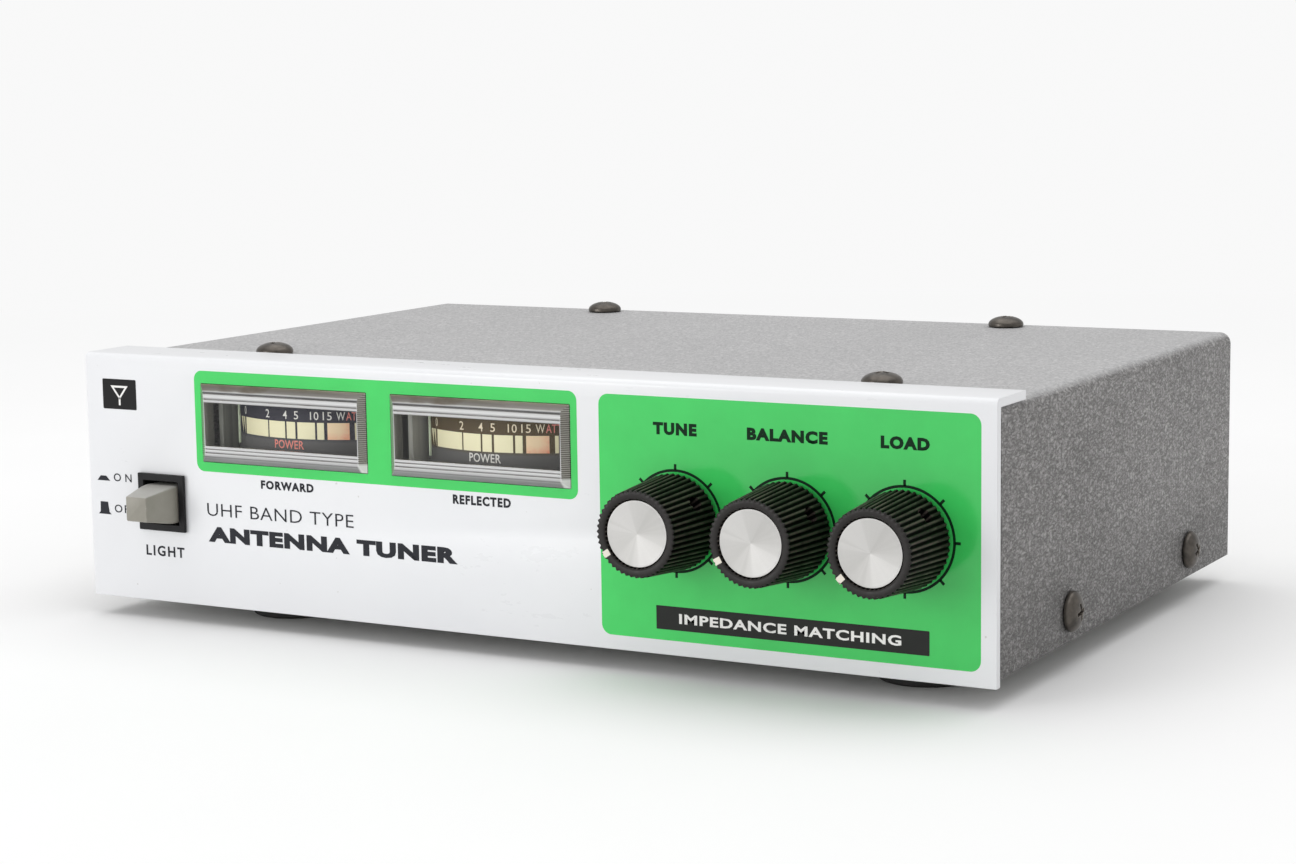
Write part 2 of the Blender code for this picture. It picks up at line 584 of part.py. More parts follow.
def variable_capacitor(name, at, mark):
    """The frame with its bushing, the fixed plates and the turning plates on the shaft."""
    wide = (-FRAME_HALF_WIDTH, FRAME_HALF_WIDTH)
    tall = (-FRAME_HALF_HEIGHT, FRAME_HALF_HEIGHT)
    front = CHASSIS_FRONT + CHASSIS_SHEET + GAP
    frame = solid(f"{name}_capacitor_frame", block(wide, (front, front + CHASSIS_SHEET), tall),
                  "nickel", at)
    posts = [rod("Y", (side * POST_X, POST_Z), 1.6 * MM, front + MM, FRAME_REAR - 0.5 * MM, 8)
             for side in (-1, 1)]
    rear = block(wide, (FRAME_REAR - CHASSIS_SHEET, FRAME_REAR), tall)
    bushing = rod("Y", (0, 0), BUSHING_RADIUS, -BUSHING_FRONT, front + MM, 16)
    add(frame, rear, together(posts), bushing)
    bearing = SHAFT_RADIUS + 0.1 * MM
    cut(frame, rod("Y", (0, 0), bearing, -2 * BUSHING_FRONT, FRAME_REAR + MM, 16))

    edge = -1.5 * MM
    notch = 5.0 * MM
    reach = math.asin(edge / notch)
    plate = [(-12 * MM, edge), (-12 * MM, -14.5 * MM), (12 * MM, -14.5 * MM), (12 * MM, edge)]
    plate += arc((0, 0), notch, reach, -math.pi - reach, 6)
    plates = [prism(plate, "Y", y, y + PLATE_SHEET) for y in STATOR_PLATES_Y]
    rods = [rod("Y", (side * POST_X, -12.6 * MM), 1.3 * MM, STATOR_PLATES_Y[0] - 0.4 * MM,
                STATOR_PLATES_Y[-1] + PLATE_SHEET + 0.4 * MM, 8) for side in (-1, 1)]
    stator = solid(f"{name}_capacitor_stator", plates[0], "brass", at)
    add(stator, together(rods), *plates[1:])

    shaft = rod("Y", (0, 0), SHAFT_RADIUS, -SHAFT_FRONT, FRAME_REAR + MM, 16)
    rotor = solid(f"{name}_capacitor_rotor", shaft, "brass", at, smooth=True)
    half_disc = arc((0, 0), ROTOR_RADIUS, mark - math.pi / 2, mark + math.pi / 2, 10)
    add(rotor, together([prism(half_disc, "Y", y, y + PLATE_SHEET) for y in ROTOR_PLATES_Y]))


# ---------------------------------------------------------------- rear sockets and board

def coaxial_socket(name, x):
    """A flanged coaxial socket, with its centre contact. Local Z points out of the back."""
    at = (x, REAR_WALL, SOCKET_Z)
    flange = 2.0 * MM
    mouth = SOCKET_MOUTH
    shell = [(3.6 * MM, -8 * MM), (6.4 * MM, -8 * MM), (6.4 * MM, GAP + MM),
             (SOCKET_THREAD_RADIUS, GAP + MM), (SOCKET_THREAD_RADIUS, mouth - 0.6 * MM),
             (SOCKET_THREAD_RADIUS - 0.6 * MM, mouth), (6.2 * MM, mouth), (6.2 * MM, 5 * MM),
             (3.6 * MM, 5 * MM)]
    socket = solid(f"{name}_socket", ring(shell, 20), "nickel", at, BACKWARD, smooth=True)
    half = SOCKET_FLANGE_HALF
    plate = block((-half, half), (-half, half), (GAP, GAP + flange))
    add(socket, plate)
    cut(socket, rod("Z", (0, 0), 3.6 * MM, -9 * MM, 6 * MM, 20))
    contact = [(0, -12 * MM), (1.6 * MM, -12 * MM), (1.6 * MM, 10.4 * MM), (0.9 * MM, 11 * MM),
               (0.9 * MM, 6 * MM), (0, 6 * MM)]
    solid(f"{name}_contact", lathe(contact, 12), "brass", at, BACKWARD, smooth=True)


def lamp_jack():
    """The supply socket for the meter lamps, with its centre pin."""
    profile = [(0, -9 * MM), (4.0 * MM, -9 * MM), (4.0 * MM, GAP), (6.0 * MM, GAP), (6.0 * MM, 2 * MM),
               (2.9 * MM, 2 * MM), (2.9 * MM, -7 * MM), (1.0 * MM, -7 * MM), (1.0 * MM, 1 * MM), (0, 1.4 * MM)]
    solid("lamp_supply_jack", lathe(profile, 16), "black_plastic", (JACK_X, REAR_WALL, JACK_Z),
          BACKWARD, smooth=True)


def coupler_board():
    """The sampling board of the meters, on stand-offs over the chassis floor."""
    floor = COVER_BOTTOM + CHASSIS_SHEET + GAP
    under = 8.0 * MM
    top = under + 1.6 * MM
    board = solid("coupler_board", block((-80 * MM, 10 * MM), (70 * MM, 120 * MM), (under, top)),
                  "circuit_board")
    posts = [rod("Z", (x, y), 2.5 * MM, floor, under + 0.5 * MM, 12)
             for x in (-75 * MM, 5 * MM) for y in (75 * MM, 115 * MM)]
    lines = [block((-70 * MM, 0), (y, y + 3 * MM), (top - 0.5 * MM, top + 2 * MM))
             for y in (86 * MM, 94 * MM, 102 * MM)]
    parts = [block((x, x + 5 * MM), (109 * MM, 112 * MM), (top - 0.5 * MM, top + 4 * MM))
             for x in (-60 * MM, -40 * MM, -20 * MM)]
    add(board, together(posts + lines + parts))


def build():
    for old in list(bpy.data.objects):
        bpy.data.objects.remove(old)
    edge = bpy.data.objects.new("panel_edge", None)
    bpy.context.collection.objects.link(edge)
    edge.location = (0, PANEL_Y, FOOT_CLEARANCE)
    front_panel()
    cover()
    chassis()
    cover_screws()
    feet()
    for name, x in METER_X.items():
        meter(name, x)
    light_switch()
    for name, x in CONTROL_X.items():
        control(name, x, KNOB_MARK_ANGLE[name])
    for name, x in SOCKET_X.items():
        coaxial_socket(name, x)
    lamp_jack()
    coupler_board()


build()
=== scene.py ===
"""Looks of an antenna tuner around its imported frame.

The cabinet's sheet metal, lenses, knobs, screws, dials and sockets are built here as
finer meshes in the places of their CAD nodes. The print on the panel and dials is thin
geometry. The inner works keep their CAD meshes with rounded edges. Every surface has a
node material. Lengths are in metres in the row frame, with the panel facing -Y; where a
comment or docstring says so, they are in millimetres.
"""
import json
from math import asin, cos, degrees, pi, radians, sin

import bmesh
import bpy
from mathutils import Matrix, Vector


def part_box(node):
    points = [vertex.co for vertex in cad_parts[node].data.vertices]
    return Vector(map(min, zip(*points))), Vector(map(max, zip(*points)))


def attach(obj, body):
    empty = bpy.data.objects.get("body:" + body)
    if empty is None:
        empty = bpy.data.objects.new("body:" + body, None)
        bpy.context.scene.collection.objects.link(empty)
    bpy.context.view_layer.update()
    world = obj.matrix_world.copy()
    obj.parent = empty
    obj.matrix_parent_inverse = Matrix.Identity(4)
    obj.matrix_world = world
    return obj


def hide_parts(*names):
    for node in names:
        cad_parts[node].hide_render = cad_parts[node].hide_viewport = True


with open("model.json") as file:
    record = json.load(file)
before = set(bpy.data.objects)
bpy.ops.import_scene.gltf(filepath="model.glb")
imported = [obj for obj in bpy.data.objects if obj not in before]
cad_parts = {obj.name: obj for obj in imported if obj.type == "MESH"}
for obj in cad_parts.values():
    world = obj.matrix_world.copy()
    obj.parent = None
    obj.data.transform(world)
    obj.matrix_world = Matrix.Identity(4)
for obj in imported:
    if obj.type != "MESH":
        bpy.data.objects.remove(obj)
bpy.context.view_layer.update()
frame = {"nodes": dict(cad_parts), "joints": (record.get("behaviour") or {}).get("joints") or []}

MM = 0.001
CABINET = "cabinet"

# The panel's front face, and the middle of its lower edge, from which print is placed.
PANEL_LOW, PANEL_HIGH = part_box("front_panel")
COVER_LOW, COVER_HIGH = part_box("cover")
MID_X = (PANEL_LOW.x + PANEL_HIGH.x) / 2
FACE_Y = PANEL_LOW.y
EDGE_Z = PANEL_LOW.z
METERS = ("forward", "reflected")
CONTROLS = ("tune", "balance", "load")
CORNERS = [(end, hand) for end in ("front", "rear") for hand in ("left", "right")]
SHEET = 2.0 * MM
PANEL_BEND = 1.4 * MM
COVER_SHEET = 1.2 * MM
COVER_BEND = 2.8 * MM
GAP = 0.3 * MM
BUSHING_HOLE = 4.9 * MM
SWITCH_HOLE_HALF = 6.5 * MM
SCREW_HOLE = 2.4 * MM

# Ink layers in front of the panel: (back, front) distance from its face.
UNDER_INK = (0.005 * MM, 0.025 * MM)
OVER_INK = (0.030 * MM, 0.050 * MM)
TOP_INK = (0.055 * MM, 0.070 * MM)

# Cover screws, in millimetres: head, shank and the threads' root.
HEAD_RADIUS, HEAD_HEIGHT = 4.6, 2.6
SHANK_RADIUS, ROOT_RADIUS, SHANK_LENGTH = 2.0, 1.65, 4.2

# Knobs, about their own axis; the profile's radii and heights from the panel are millimetres.
FLUTES = 48
FLUTE_STEPS = 8
FLUTE_DEPTH = 0.42 * MM
FLUTED_FROM = 9.2 * MM
KNOB_MARK = {"tune": 213.0, "balance": 209.5, "load": 222.0}
MARK_HALF_WIDTH = 0.72
KNOB_PROFILE = [(0.0, 15.3), (3.3, 15.3), (3.3, 3.4), (8.3, 3.4), (8.3, 1.15), (8.45, 1.0),
                (10.6, 1.0), (10.75, 1.15), (10.54, 4.0), (10.30, 7.2), (10.03, 10.9), (9.77, 14.4),
                (9.57, 17.3), (9.52, 17.95), (9.46, 18.12), (9.35, 18.2), (8.6, 18.2), (7.95, 18.2),
                (7.75, 18.12), (7.60, 17.9), (7.52, 17.6), (7.40, 17.2), (7.3, 16.4), (0.0, 16.4)]
MARK_PROFILE = [(7.72, 18.13), (7.9, 18.24), (9.1, 18.25), (9.4, 18.12), (9.54, 17.9), (9.6, 17.2)]

# The button's sections, in millimetres: depth behind its tip, half width, half height, corner.
BUTTON_SECTIONS = ((0.0, 2.85, 2.75, 0.2), (0.1, 3.02, 2.92, 0.3), (0.35, 3.15, 3.05, 0.36),
                   (3.0, 3.68, 3.52, 0.42), (5.5, 4.20, 4.02, 0.55), (7.6, 4.62, 4.38, 0.75),
                   (8.8, 4.80, 4.53, 0.95), (9.6, 4.88, 4.58, 1.0), (16.0, 4.88, 4.58, 1.0),
                   (16.0, 2.0, 2.0, 0.3))
BUTTON_DROP = 0.25 * MM

# Meter dials, in degrees from the middle, and heights from the panel's lower edge.
BAND = (42.2 * MM, 46.2 * MM)
CREAM_BLOCKS = ((-25.3, -10.4), (-9.7, -1.4), (-0.6, 3.5), (4.5, 12.3), (13.2, 16.1), (28.5, 29.9))
CREAM_TEETH = ((-29.6, -28.2), (-27.9, -26.4))
ORANGE_BLOCK = (17.5, 26.4)
DIAL_TURN = {"forward": 0.1, "reflected": 0.17}
DIAL_CHANGE_Z = EDGE_Z + 41.9 * MM
NUMERALS = (("0", -26.5, -25.1), ("2", -11.6, -9.5), ("4", -2.3, -0.3), ("5", 3.0, 5.0),
            ("10", 10.3, 13.9), ("15", 15.7, 19.4), ("W", 21.3, 24.8))
RED_NUMERALS = (("ATT", 25.2, 31.2),)
NUMERAL_Z = (46.85, 48.8)
POWER_WORD = (("POWER", -6.9, 7.2),)
POWER_Z = (39.7, 41.75)

# Meter lenses, measured from their own middle: depth in front of the panel, the heights
# of the window, grooves as (height, half width), and the ribs moulded up both ends.
LENS_DEPTH = FACE_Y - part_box("forward_lens")[0].y
LENS_BEVEL = 1.5 * MM
WINDOW = (-5.4 * MM, 5.15 * MM)
LENS_GROOVES = ((7.35 * MM, 0.22 * MM), (5.95 * MM, 0.20 * MM), (-6.1 * MM, 0.16 * MM),
                (-7.0 * MM, 0.18 * MM))
LENS_RIBS = 30
LENS_RIB_SPAN = 14.4 * MM
LENS_RIB_DEPTH = 0.12 * MM

# The camera: angles in degrees round the tuner, lens in millimetres.
CAMERA_AT = (0.32455, -0.58787, 0.13539)
CAMERA_AZIMUTH, CAMERA_ELEVATION, CAMERA_ROLL = 29.21, 7.89, -0.85
CAMERA_LENS = 75.26
ROOM_LIGHT = 0.70
FAR_TONE = 0.945


# ---- materials

# The pale tone of dust, which also stands for a painted sheen: upward faces are painted paler.
DUST_AND_SHEEN = (0.62, 0.62, 0.63)


class Look:
    """A node material on one Principled shader. Sizes and depths are in millimetres."""

    def __init__(self, name, **values):
        self.material = bpy.data.materials.new(name)
        self.material.use_nodes = True
        self.tree = self.material.node_tree
        self.shader = self.tree.nodes["Principled BSDF"]
        self.output = self.tree.nodes["Material Output"]
        self.place = self.node("TexCoord").outputs["Object"]
        for key, value in values.items():
            self.feed(self.shader.inputs[key.replace("_", " ")], value)

    def node(self, kind, settings=None, **inputs):
        made = self.tree.nodes.new("ShaderNode" + kind)
        for key, value in (settings or {}).items():
            setattr(made, key, value)
        for key, value in inputs.items():
            self.feed(made.inputs[key.replace("_", " ")], value)
        return made

    def feed(self, socket, value):
        if isinstance(value, bpy.types.NodeSocket):
            self.tree.links.new(value, socket)
        elif isinstance(value, (tuple, list)) and socket.type == "RGBA":
            socket.default_value = (*value[:3], 1.0)
        else:
            socket.default_value = value

    def feed_all(self, made, *values):
        """Feeds a node's inputs in their order."""
        for socket, value in zip(made.inputs, values):
            self.feed(socket, value)
        return made.outputs[0]

    def finish(self, colour, rough, normal):
        """Sets the surface, and gives the finished material."""
        self.feed(self.shader.inputs["Base Color"], colour)
        self.feed(self.shader.inputs["Roughness"], rough)
        self.feed(self.shader.inputs["Normal"], normal)
        return self.material

    def blend_shaders(self, share, first, second):
        """Ends the material in a blend of two shaders."""
        blend = self.feed_all(self.node("MixShader"), share, first, second)
        self.feed(self.output.inputs["Surface"], blend)

    def stretched(self, x, y, z):
        """The place, scaled along each axis."""
        made = self.node("VectorMath", {"operation": "MULTIPLY"})
        made.inputs[1].default_value = (x, y, z)
        return self.feed_all(made, self.place)

    def noise(self, size, detail=3.0, rough=0.5, place=None, swirl=0.0):
        return self.node("TexNoise", Vector=place or self.place, Scale=1.0 / (size * MM),
                         Detail=detail, Roughness=rough, Distortion=swirl).outputs[0]

    def ramp(self, value, stops):
        """A smooth passage of colours, or of grey values when a stop is one number."""
        made = self.node("ValToRGB")
        marks = made.color_ramp.elements
        while len(marks) < len(stops):
            marks.new(0.5)
        for mark, (at, colour) in zip(marks, stops):
            mark.position = at
            colour = colour if isinstance(colour, tuple) else (colour,) * 3
            mark.color = (*colour, 1.0)
        return self.feed_all(made, value)

    def patches(self, size, dark, light, detail=4.0, rough=0.5, place=None):
        """Two colours that pass into each other in soft patches."""
        return self.ramp(self.noise(size, detail, rough, place), [(0.3, dark), (0.7, light)])

    def mix(self, share, first, second, blend="MIX"):
        made = self.node("Mix", {"data_type": "RGBA", "blend_type": blend})
        for number, value in ((0, share), (6, first), (7, second)):
            self.feed(made.inputs[number], value)
        return made.outputs[2]

    def maths(self, operation, first, second=0.0):
        return self.feed_all(self.node("Math", {"operation": operation}), first, second)

    def times(self, first, second):
        return self.maths("MULTIPLY", first, second)

    def plus(self, first, second):
        return self.maths("ADD", first, second)

    def off(self, value, middle):
        return self.maths("SUBTRACT", value, middle)

    def axis(self, name, source=None):
        made = self.node("SeparateXYZ")
        self.feed(made.inputs[0], source or self.place)
        return made.outputs[name]

    def facing(self, name):
        """How squarely the surface faces along an axis."""
        return self.axis(name, self.node("NewGeometry").outputs["Normal"])

    def span(self, value, low, high, start=0.0, end=1.0):
        """The value, stretched from low..high to start..end and held at the ends."""
        return self.feed_all(self.node("MapRange"), value, low, high, start, end)

    def bump(self, height, depth, below=None):
        made = self.node("Bump", Height=height, Distance=depth * MM, Strength=1.0)
        if below is not None:
            self.feed(made.inputs["Normal"], below)
        return made.outputs[0]

    def edges(self, radius, patchy=3.0, amount=0.55):
        """1 along worn edges within about the radius, broken up by noise."""
        rounded_off = self.node("Bevel", {"samples": 4}, Radius=radius * MM)
        plain = self.node("NewGeometry")
        lined = self.node("VectorMath", {"operation": "DOT_PRODUCT"})
        self.feed_all(lined, rounded_off.outputs[0], plain.outputs["Normal"])
        near = self.span(lined.outputs["Value"], 0.99, 0.85)
        worn = self.span(self.noise(patchy, 6.0, 0.65), amount, amount + 0.12)
        return self.times(near, worn)


def surface(name, dark, light, patch=12.0, rough=(0.35, 0.5), metal=0.0, grain=0.3, depth=0.01,
            worn=None, edge=0.35, wear=0.55, along=None, dust_and_sheen=0.0, **more):
    """A finish with patches of colour, grain, a roughness that varies, dust with a painted sheen on
    upward faces, and worn edges.
    """
    look = Look(name, Metallic=metal, **more)
    place = look.stretched(*along) if along else look.place
    colour = look.patches(patch, dark, light, 5.0, 0.6, place)
    fine = look.noise(grain, 4.0, 0.6, place)
    # Dust, and a painted sheen: upward faces are blended towards a pale tone.
    if dust_and_sheen:
        colour = look.mix(look.span(look.facing("Z"), 0.5, 0.95, 0.0, dust_and_sheen), colour, DUST_AND_SHEEN)
    if worn:
        colour = look.mix(look.edges(edge, amount=wear), colour, worn)
    mottle = look.plus(look.times(fine, 0.5), look.times(look.noise(patch * 0.4, 4.0), 0.5))
    return look.finish(colour, look.span(mottle, 0.3, 0.7, *rough), look.bump(fine, depth))


def ink_look(name, colour, spread=0.06, shine=0.5):
    """A printed ink, a little uneven."""
    light = tuple(min(1.0, part * (1 + spread)) for part in colour)
    dark = tuple(part * (1 - spread) for part in colour)
    return surface(name, dark, light, 14.0, (0.38, 0.5), depth=0.002, Specular_IOR_Level=shine)


def panel_look():
    """Pale satin lacquer on aluminium, with rubbed marks and nicks at the edges."""
    look = Look("panel_lacquer", Metallic=0.0, Coat_Weight=0.1, Coat_Roughness=0.25)
    tone = look.patches(60.0, (0.735, 0.742, 0.762), (0.770, 0.776, 0.790))
    specks = look.span(look.noise(1.6, 2.0), 0.775, 0.80)
    tone = look.mix(look.times(specks, 0.5), tone, (0.45, 0.43, 0.40))
    tone = look.mix(look.edges(0.5, 2.0, 0.62), tone, (0.42, 0.40, 0.36))
    rubbed = look.noise(9.0, 6.0, 0.7, look.stretched(0.35, 1.0, 1.0))
    waves = look.bump(look.noise(25.0, 2.0), 0.05)
    return look.finish(tone, look.span(rubbed, 0.3, 0.7, 0.26, 0.36),
                       look.bump(look.noise(0.35, 3.0), 0.003, waves))


def cover_look():
    """Grey paint over a leather grain: short winding creases with painted shade in them, painted shade
    towards the lower edge, and dust with a painted sheen on top.
    """
    look = Look("cover_grain")
    place = look.stretched(0.70, 0.45, 1.0)

    def crease(size, reach):
        value = look.noise(size, 1.0, 0.5, place, 0.35)
        return look.span(look.maths("ABSOLUTE", look.off(value, 0.5)), 0.0, reach)

    fine = look.noise(0.45, 2.0, 0.6)
    winding = look.plus(look.times(crease(0.80, 0.21), 0.60), look.times(crease(1.25, 0.20), 0.40))
    height = look.plus(winding, look.times(look.off(fine, 0.5), 0.45))
    # Painted shade: the creases take the dark tone and the raised grain the light one.
    low = look.patches(35.0, (0.092, 0.089, 0.087), (0.112, 0.108, 0.106), 3.0)
    high = look.patches(35.0, (0.320, 0.311, 0.306), (0.372, 0.362, 0.356), 3.0)
    colour = look.mix(look.span(height, 0.05, 1.0), low, high)
    # Painted shade: the cover darkens towards its lower edge, near the floor.
    low_shade = look.span(look.axis("Z"), EDGE_Z, EDGE_Z + 26 * MM, 0.66, 1.0)
    colour = look.mix(1.0, colour, low_shade, "MULTIPLY")
    # Dust, and a painted sheen: the top is painted paler.
    dust_and_sheen = look.times(look.span(look.facing("Z"), 0.5, 0.95), look.span(fine, 0.3, 0.7, 0.32, 0.60))
    colour = look.mix(dust_and_sheen, colour, DUST_AND_SHEEN)
    colour = look.mix(look.edges(0.6, 4.0, 0.60), colour, (0.42, 0.41, 0.40))
    return look.finish(colour, look.span(height, 0.0, 1.0, 0.62, 0.42), look.bump(height, 0.14))


def green_look():
    """Glossy green ink, with painted shade that darkens it a little towards the right."""
    look = Look("green_ink")
    tone = look.patches(14.0, (0.0475, 0.570, 0.112), (0.0525, 0.630, 0.124), 5.0, 0.6)
    # Painted shade: the light's fall-off towards the right is painted into the green.
    right_shade = look.span(look.axis("X"), 45 * MM, 110 * MM, 1.0, 0.88)
    return look.finish(look.mix(1.0, tone, right_shade, "MULTIPLY"),
                       look.span(look.noise(5.6, 4.0), 0.3, 0.7, 0.10, 0.17),
                       look.bump(look.noise(0.3, 4.0), 0.002))


def window_look():
    """Thin clear plastic: a faint, slightly smeared reflection over what lies behind."""
    look = Look("lens_window", Metallic=1.0)
    smear = look.noise(7.0, 5.0, 0.7)
    look.finish(look.ramp(smear, [(0.3, 0.90), (0.7, 1.0)]), look.span(smear, 0.35, 0.8, 0.04, 0.12),
                look.bump(look.noise(3.0, 2.0), 0.003))
    back = look.node("NewGeometry").outputs["Backfacing"]
    shine = look.node("Fresnel", IOR=1.38).outputs[0]
    through = look.node("BsdfTransparent", Color=(0.97, 0.97, 0.96))
    look.blend_shaders(look.times(shine, look.off(1.0, back)), through.outputs[0], look.shader.outputs[0])
    return look.material


def lens_wall_look():
    """Clear plastic seen through its thick walls: a smoky tone, with painted highlights and painted shade
    in bands across its front, along its top and in its ridges.

    Made for a lens whose own middle lies in the panel's face, with its front towards -Y.
    """
    look = Look("lens_wall", Alpha=0.88)
    height = look.axis("Z")
    across = look.axis("X")
    reach = 9.5
    # Painted highlights and painted shade: bands of tone up the front, as (height in millimetres, tone).
    painted_bands = [(-9.3, 0.24), (-8.6, 0.27), (-8.2, 0.34), (-7.95, 0.20), (-7.7, 0.46), (-7.3, 0.58),
             (-7.0, 0.36), (-6.7, 0.60), (-6.4, 0.68), (-6.1, 0.40), (-5.8, 0.70), (-5.45, 0.50),
             (5.2, 0.36), (5.45, 0.66), (5.95, 0.32), (6.55, 0.74), (7.05, 0.60), (7.3, 0.12),
             (7.6, 0.10), (7.85, 0.50)]
    share = look.span(height, -reach * MM, reach * MM)
    front = look.ramp(share, [((at + reach) / (2 * reach), tone) for at, tone in painted_bands])
    depth = look.span(look.axis("Y"), 0.0, -LENS_DEPTH)
    # Painted light along the top: a pale line at the back, dark brown-grey, then a painted highlight at
    # the front edge.
    top = look.ramp(depth, [(0.06, (0.40, 0.38, 0.24)), (0.20, (0.17, 0.15, 0.11)),
                            (0.5, (0.15, 0.135, 0.12)), (0.85, (0.22, 0.205, 0.19)),
                            (0.98, (0.55, 0.54, 0.52))])
    drift = look.noise(6.0, 3.0, 0.6, look.stretched(0.6, 2.0, 1.0))
    top = look.mix(look.span(drift, 0.45, 0.65, 0.0, 0.7), top, (0.095, 0.070, 0.040))
    # Painted highlights and shade in stripes along the ribs at the ends.
    rib = look.maths("COSINE", look.times(height, 2 * pi * LENS_RIBS / LENS_RIB_SPAN))
    side = look.ramp(look.span(rib, -1.0, 1.0), [(0.1, (0.12, 0.11, 0.095)), (0.5, (0.22, 0.205, 0.18)),
                                                 (0.9, (0.36, 0.34, 0.31))])
    side = look.mix(look.span(across, 0.0, -MM), side, (0.24, 0.235, 0.21))
    # A painted highlight at the lower right corner.
    corner_glint = look.times(look.span(height, -7.0 * MM, -7.6 * MM),
                            look.span(across, 22.0 * MM, 22.6 * MM))
    colour = look.mix(look.span(look.facing("Z"), 0.35, 0.6), front, top)
    end_on = look.span(look.maths("ABSOLUTE", look.facing("X")), 0.35, 0.55)
    colour = look.mix(end_on, colour, side)
    colour = look.mix(corner_glint, colour, (0.78, 0.78, 0.76))
    return look.finish(colour, look.span(look.noise(5.0, 5.0, 0.7), 0.35, 0.8, 0.06, 0.18),
                       look.bump(look.noise(2.0, 2.0), 0.004))


def spun_look():
    """Aluminium turned on a lathe: fine rings, and a painted sheen that fans out in soft sectors."""
    look = Look("spun_disc", Metallic=1.0)
    x = look.axis("X")
    y = look.axis("Y")
    radius = look.maths("SQRT", look.plus(look.times(x, x), look.times(y, y)))
    rings = look.node("TexNoise", {"noise_dimensions": "1D"}, W=radius,
                      Scale=1.0 / (0.12 * MM), Detail=3.0).outputs[0]
    unit = look.feed_all(look.node("VectorMath", {"operation": "NORMALIZE"}),
                         look.stretched(1.0, 1.0, 0.0))
    rays = look.node("TexNoise", Vector=unit, Scale=2.2, Detail=2.0).outputs[0]
    turn = look.off(look.maths("ARCTAN2", y, x), radians(128))
    sheen = look.plus(look.times(look.maths("COSINE", look.times(turn, 2.0)), 0.28), rays)
    # Painted sheen: the sectors of light and dark are painted into the colour.
    tone = look.ramp(sheen, [(0.20, (0.425, 0.418, 0.405)), (0.42, (0.465, 0.458, 0.445)),
                             (0.54, (0.475, 0.468, 0.455)), (0.66, (0.515, 0.508, 0.495)),
                             (0.85, (0.53, 0.522, 0.51))])
    tone = look.mix(look.span(rings, 0.35, 0.65, 0.0, 0.25), tone, (0.41, 0.405, 0.395))
    return look.finish(tone, look.span(rings, 0.3, 0.7, 0.28, 0.38), look.bump(rings, 0.002))


def dial_look(name, upper, lower):
    """Printed dial card, dark above and grey below the scale."""
    look = Look(name, Specular_IOR_Level=0.2)
    share = look.span(look.axis("Z"), DIAL_CHANGE_Z - 0.5 * MM, DIAL_CHANGE_Z + 0.7 * MM)
    colour = look.mix(share, lower, upper)
    colour = look.mix(look.times(look.noise(2.0, 4.0), 0.12), colour, (0.20, 0.19, 0.19))
    return look.finish(colour, look.span(look.noise(1.5, 3.0), 0.3, 0.7, 0.5, 0.65),
                       look.bump(look.noise(0.2, 3.0), 0.004))


def overload_look():
    """Orange ink that reddens towards its right and lower edges."""
    look = Look("overload_ink")
    place = look.node("TexCoord").outputs["Generated"]
    low = look.span(look.axis("Z", place), 0.45, 0.0)
    right = look.span(look.axis("X", place), 0.55, 1.0)
    red = look.times(look.plus(low, right), look.span(look.noise(0.8, 2.0), 0.3, 0.7, 0.3, 0.6))
    return look.finish(look.mix(red, (1.0, 0.77, 0.51), (0.98, 0.36, 0.22)), 0.5,
                       look.bump(look.noise(0.2, 3.0), 0.003))


def knob_look():
    """Black moulding: painted shade between the flutes, their tops lighter from rubbed wear and a painted
    highlight, and grey worn edges.
    """
    look = Look("knob_moulding")
    turn = look.maths("ARCTAN2", look.axis("Y"), look.axis("X"))
    wave = look.maths("ABSOLUTE", look.maths("COSINE", look.times(turn, FLUTES / 2)))
    side = look.span(look.axis("Z"), 18.0 * MM, 17.6 * MM)
    top = look.times(look.span(wave, 0.80, 0.97), side)
    # Painted shade: the valleys between the flutes are painted darker.
    shaded_valley = look.times(look.span(wave, 0.85, 0.55), side)
    rubbed = look.span(look.noise(2.2, 4.0, 0.65, look.stretched(1.0, 1.0, 0.3)), 0.42, 0.62)
    colour = look.mix(shaded_valley, (0.013, 0.0108, 0.0100), (0.002, 0.0017, 0.0016))
    # The flutes' tops are painted lighter: rubbed wear, and a painted highlight even where unworn.
    ridge = look.times(top, look.plus(look.times(rubbed, 0.65), 0.2))
    colour = look.mix(ridge, colour, (0.098, 0.080, 0.068))
    worn = look.times(look.edges(0.3, 3.0, 0.56), look.span(side, 0.0, 1.0, 0.8, 0.0))
    colour = look.mix(worn, colour, (0.10, 0.09, 0.08))
    shine = look.times(look.span(shaded_valley, 0.0, 1.0, 0.30, 0.03), look.span(side, 0.0, 1.0, 1.0, 0.35))
    look.feed(look.shader.inputs["Specular IOR Level"], shine)
    return look.finish(colour, look.span(look.noise(1.5, 4.0), 0.3, 0.7, 0.36, 0.50),
                       look.bump(look.noise(0.25, 3.0), 0.006))


PANEL = panel_look()
GRAIN = cover_look()
GREEN = green_look()
DARK_ON_GREEN = ink_look("dark_ink_over_green", (0.003, 0.022, 0.008), shine=0.10)
DARK_INK = ink_look("dark_ink", (0.016, 0.017, 0.023), shine=0.2)
BLACK_INK = ink_look("black_ink", (0.009, 0.0088, 0.009), shine=0.16)
STRIP_INK = ink_look("strip_ink", (0.020, 0.021, 0.0195), shine=0.16)
CREAM_INK = ink_look("cream_ink", (0.96, 0.91, 0.625), 0.04)
PALE_INK = ink_look("pale_ink", (0.82, 0.81, 0.79))
WARM_INK = ink_look("warm_pale_ink", (0.86, 0.76, 0.58))
RED_INK = ink_look("red_ink", (0.90, 0.27, 0.23))
MARK_PAINT = ink_look("mark_paint", (0.74, 0.69, 0.60), 0.08)
ORANGE_INK = overload_look()
WINDOW_LOOK = window_look()
LENS_WALL = lens_wall_look()
SPUN = spun_look()
NAVY_DIAL = dial_look("navy_dial", (0.018, 0.018, 0.036), (0.125, 0.125, 0.13))
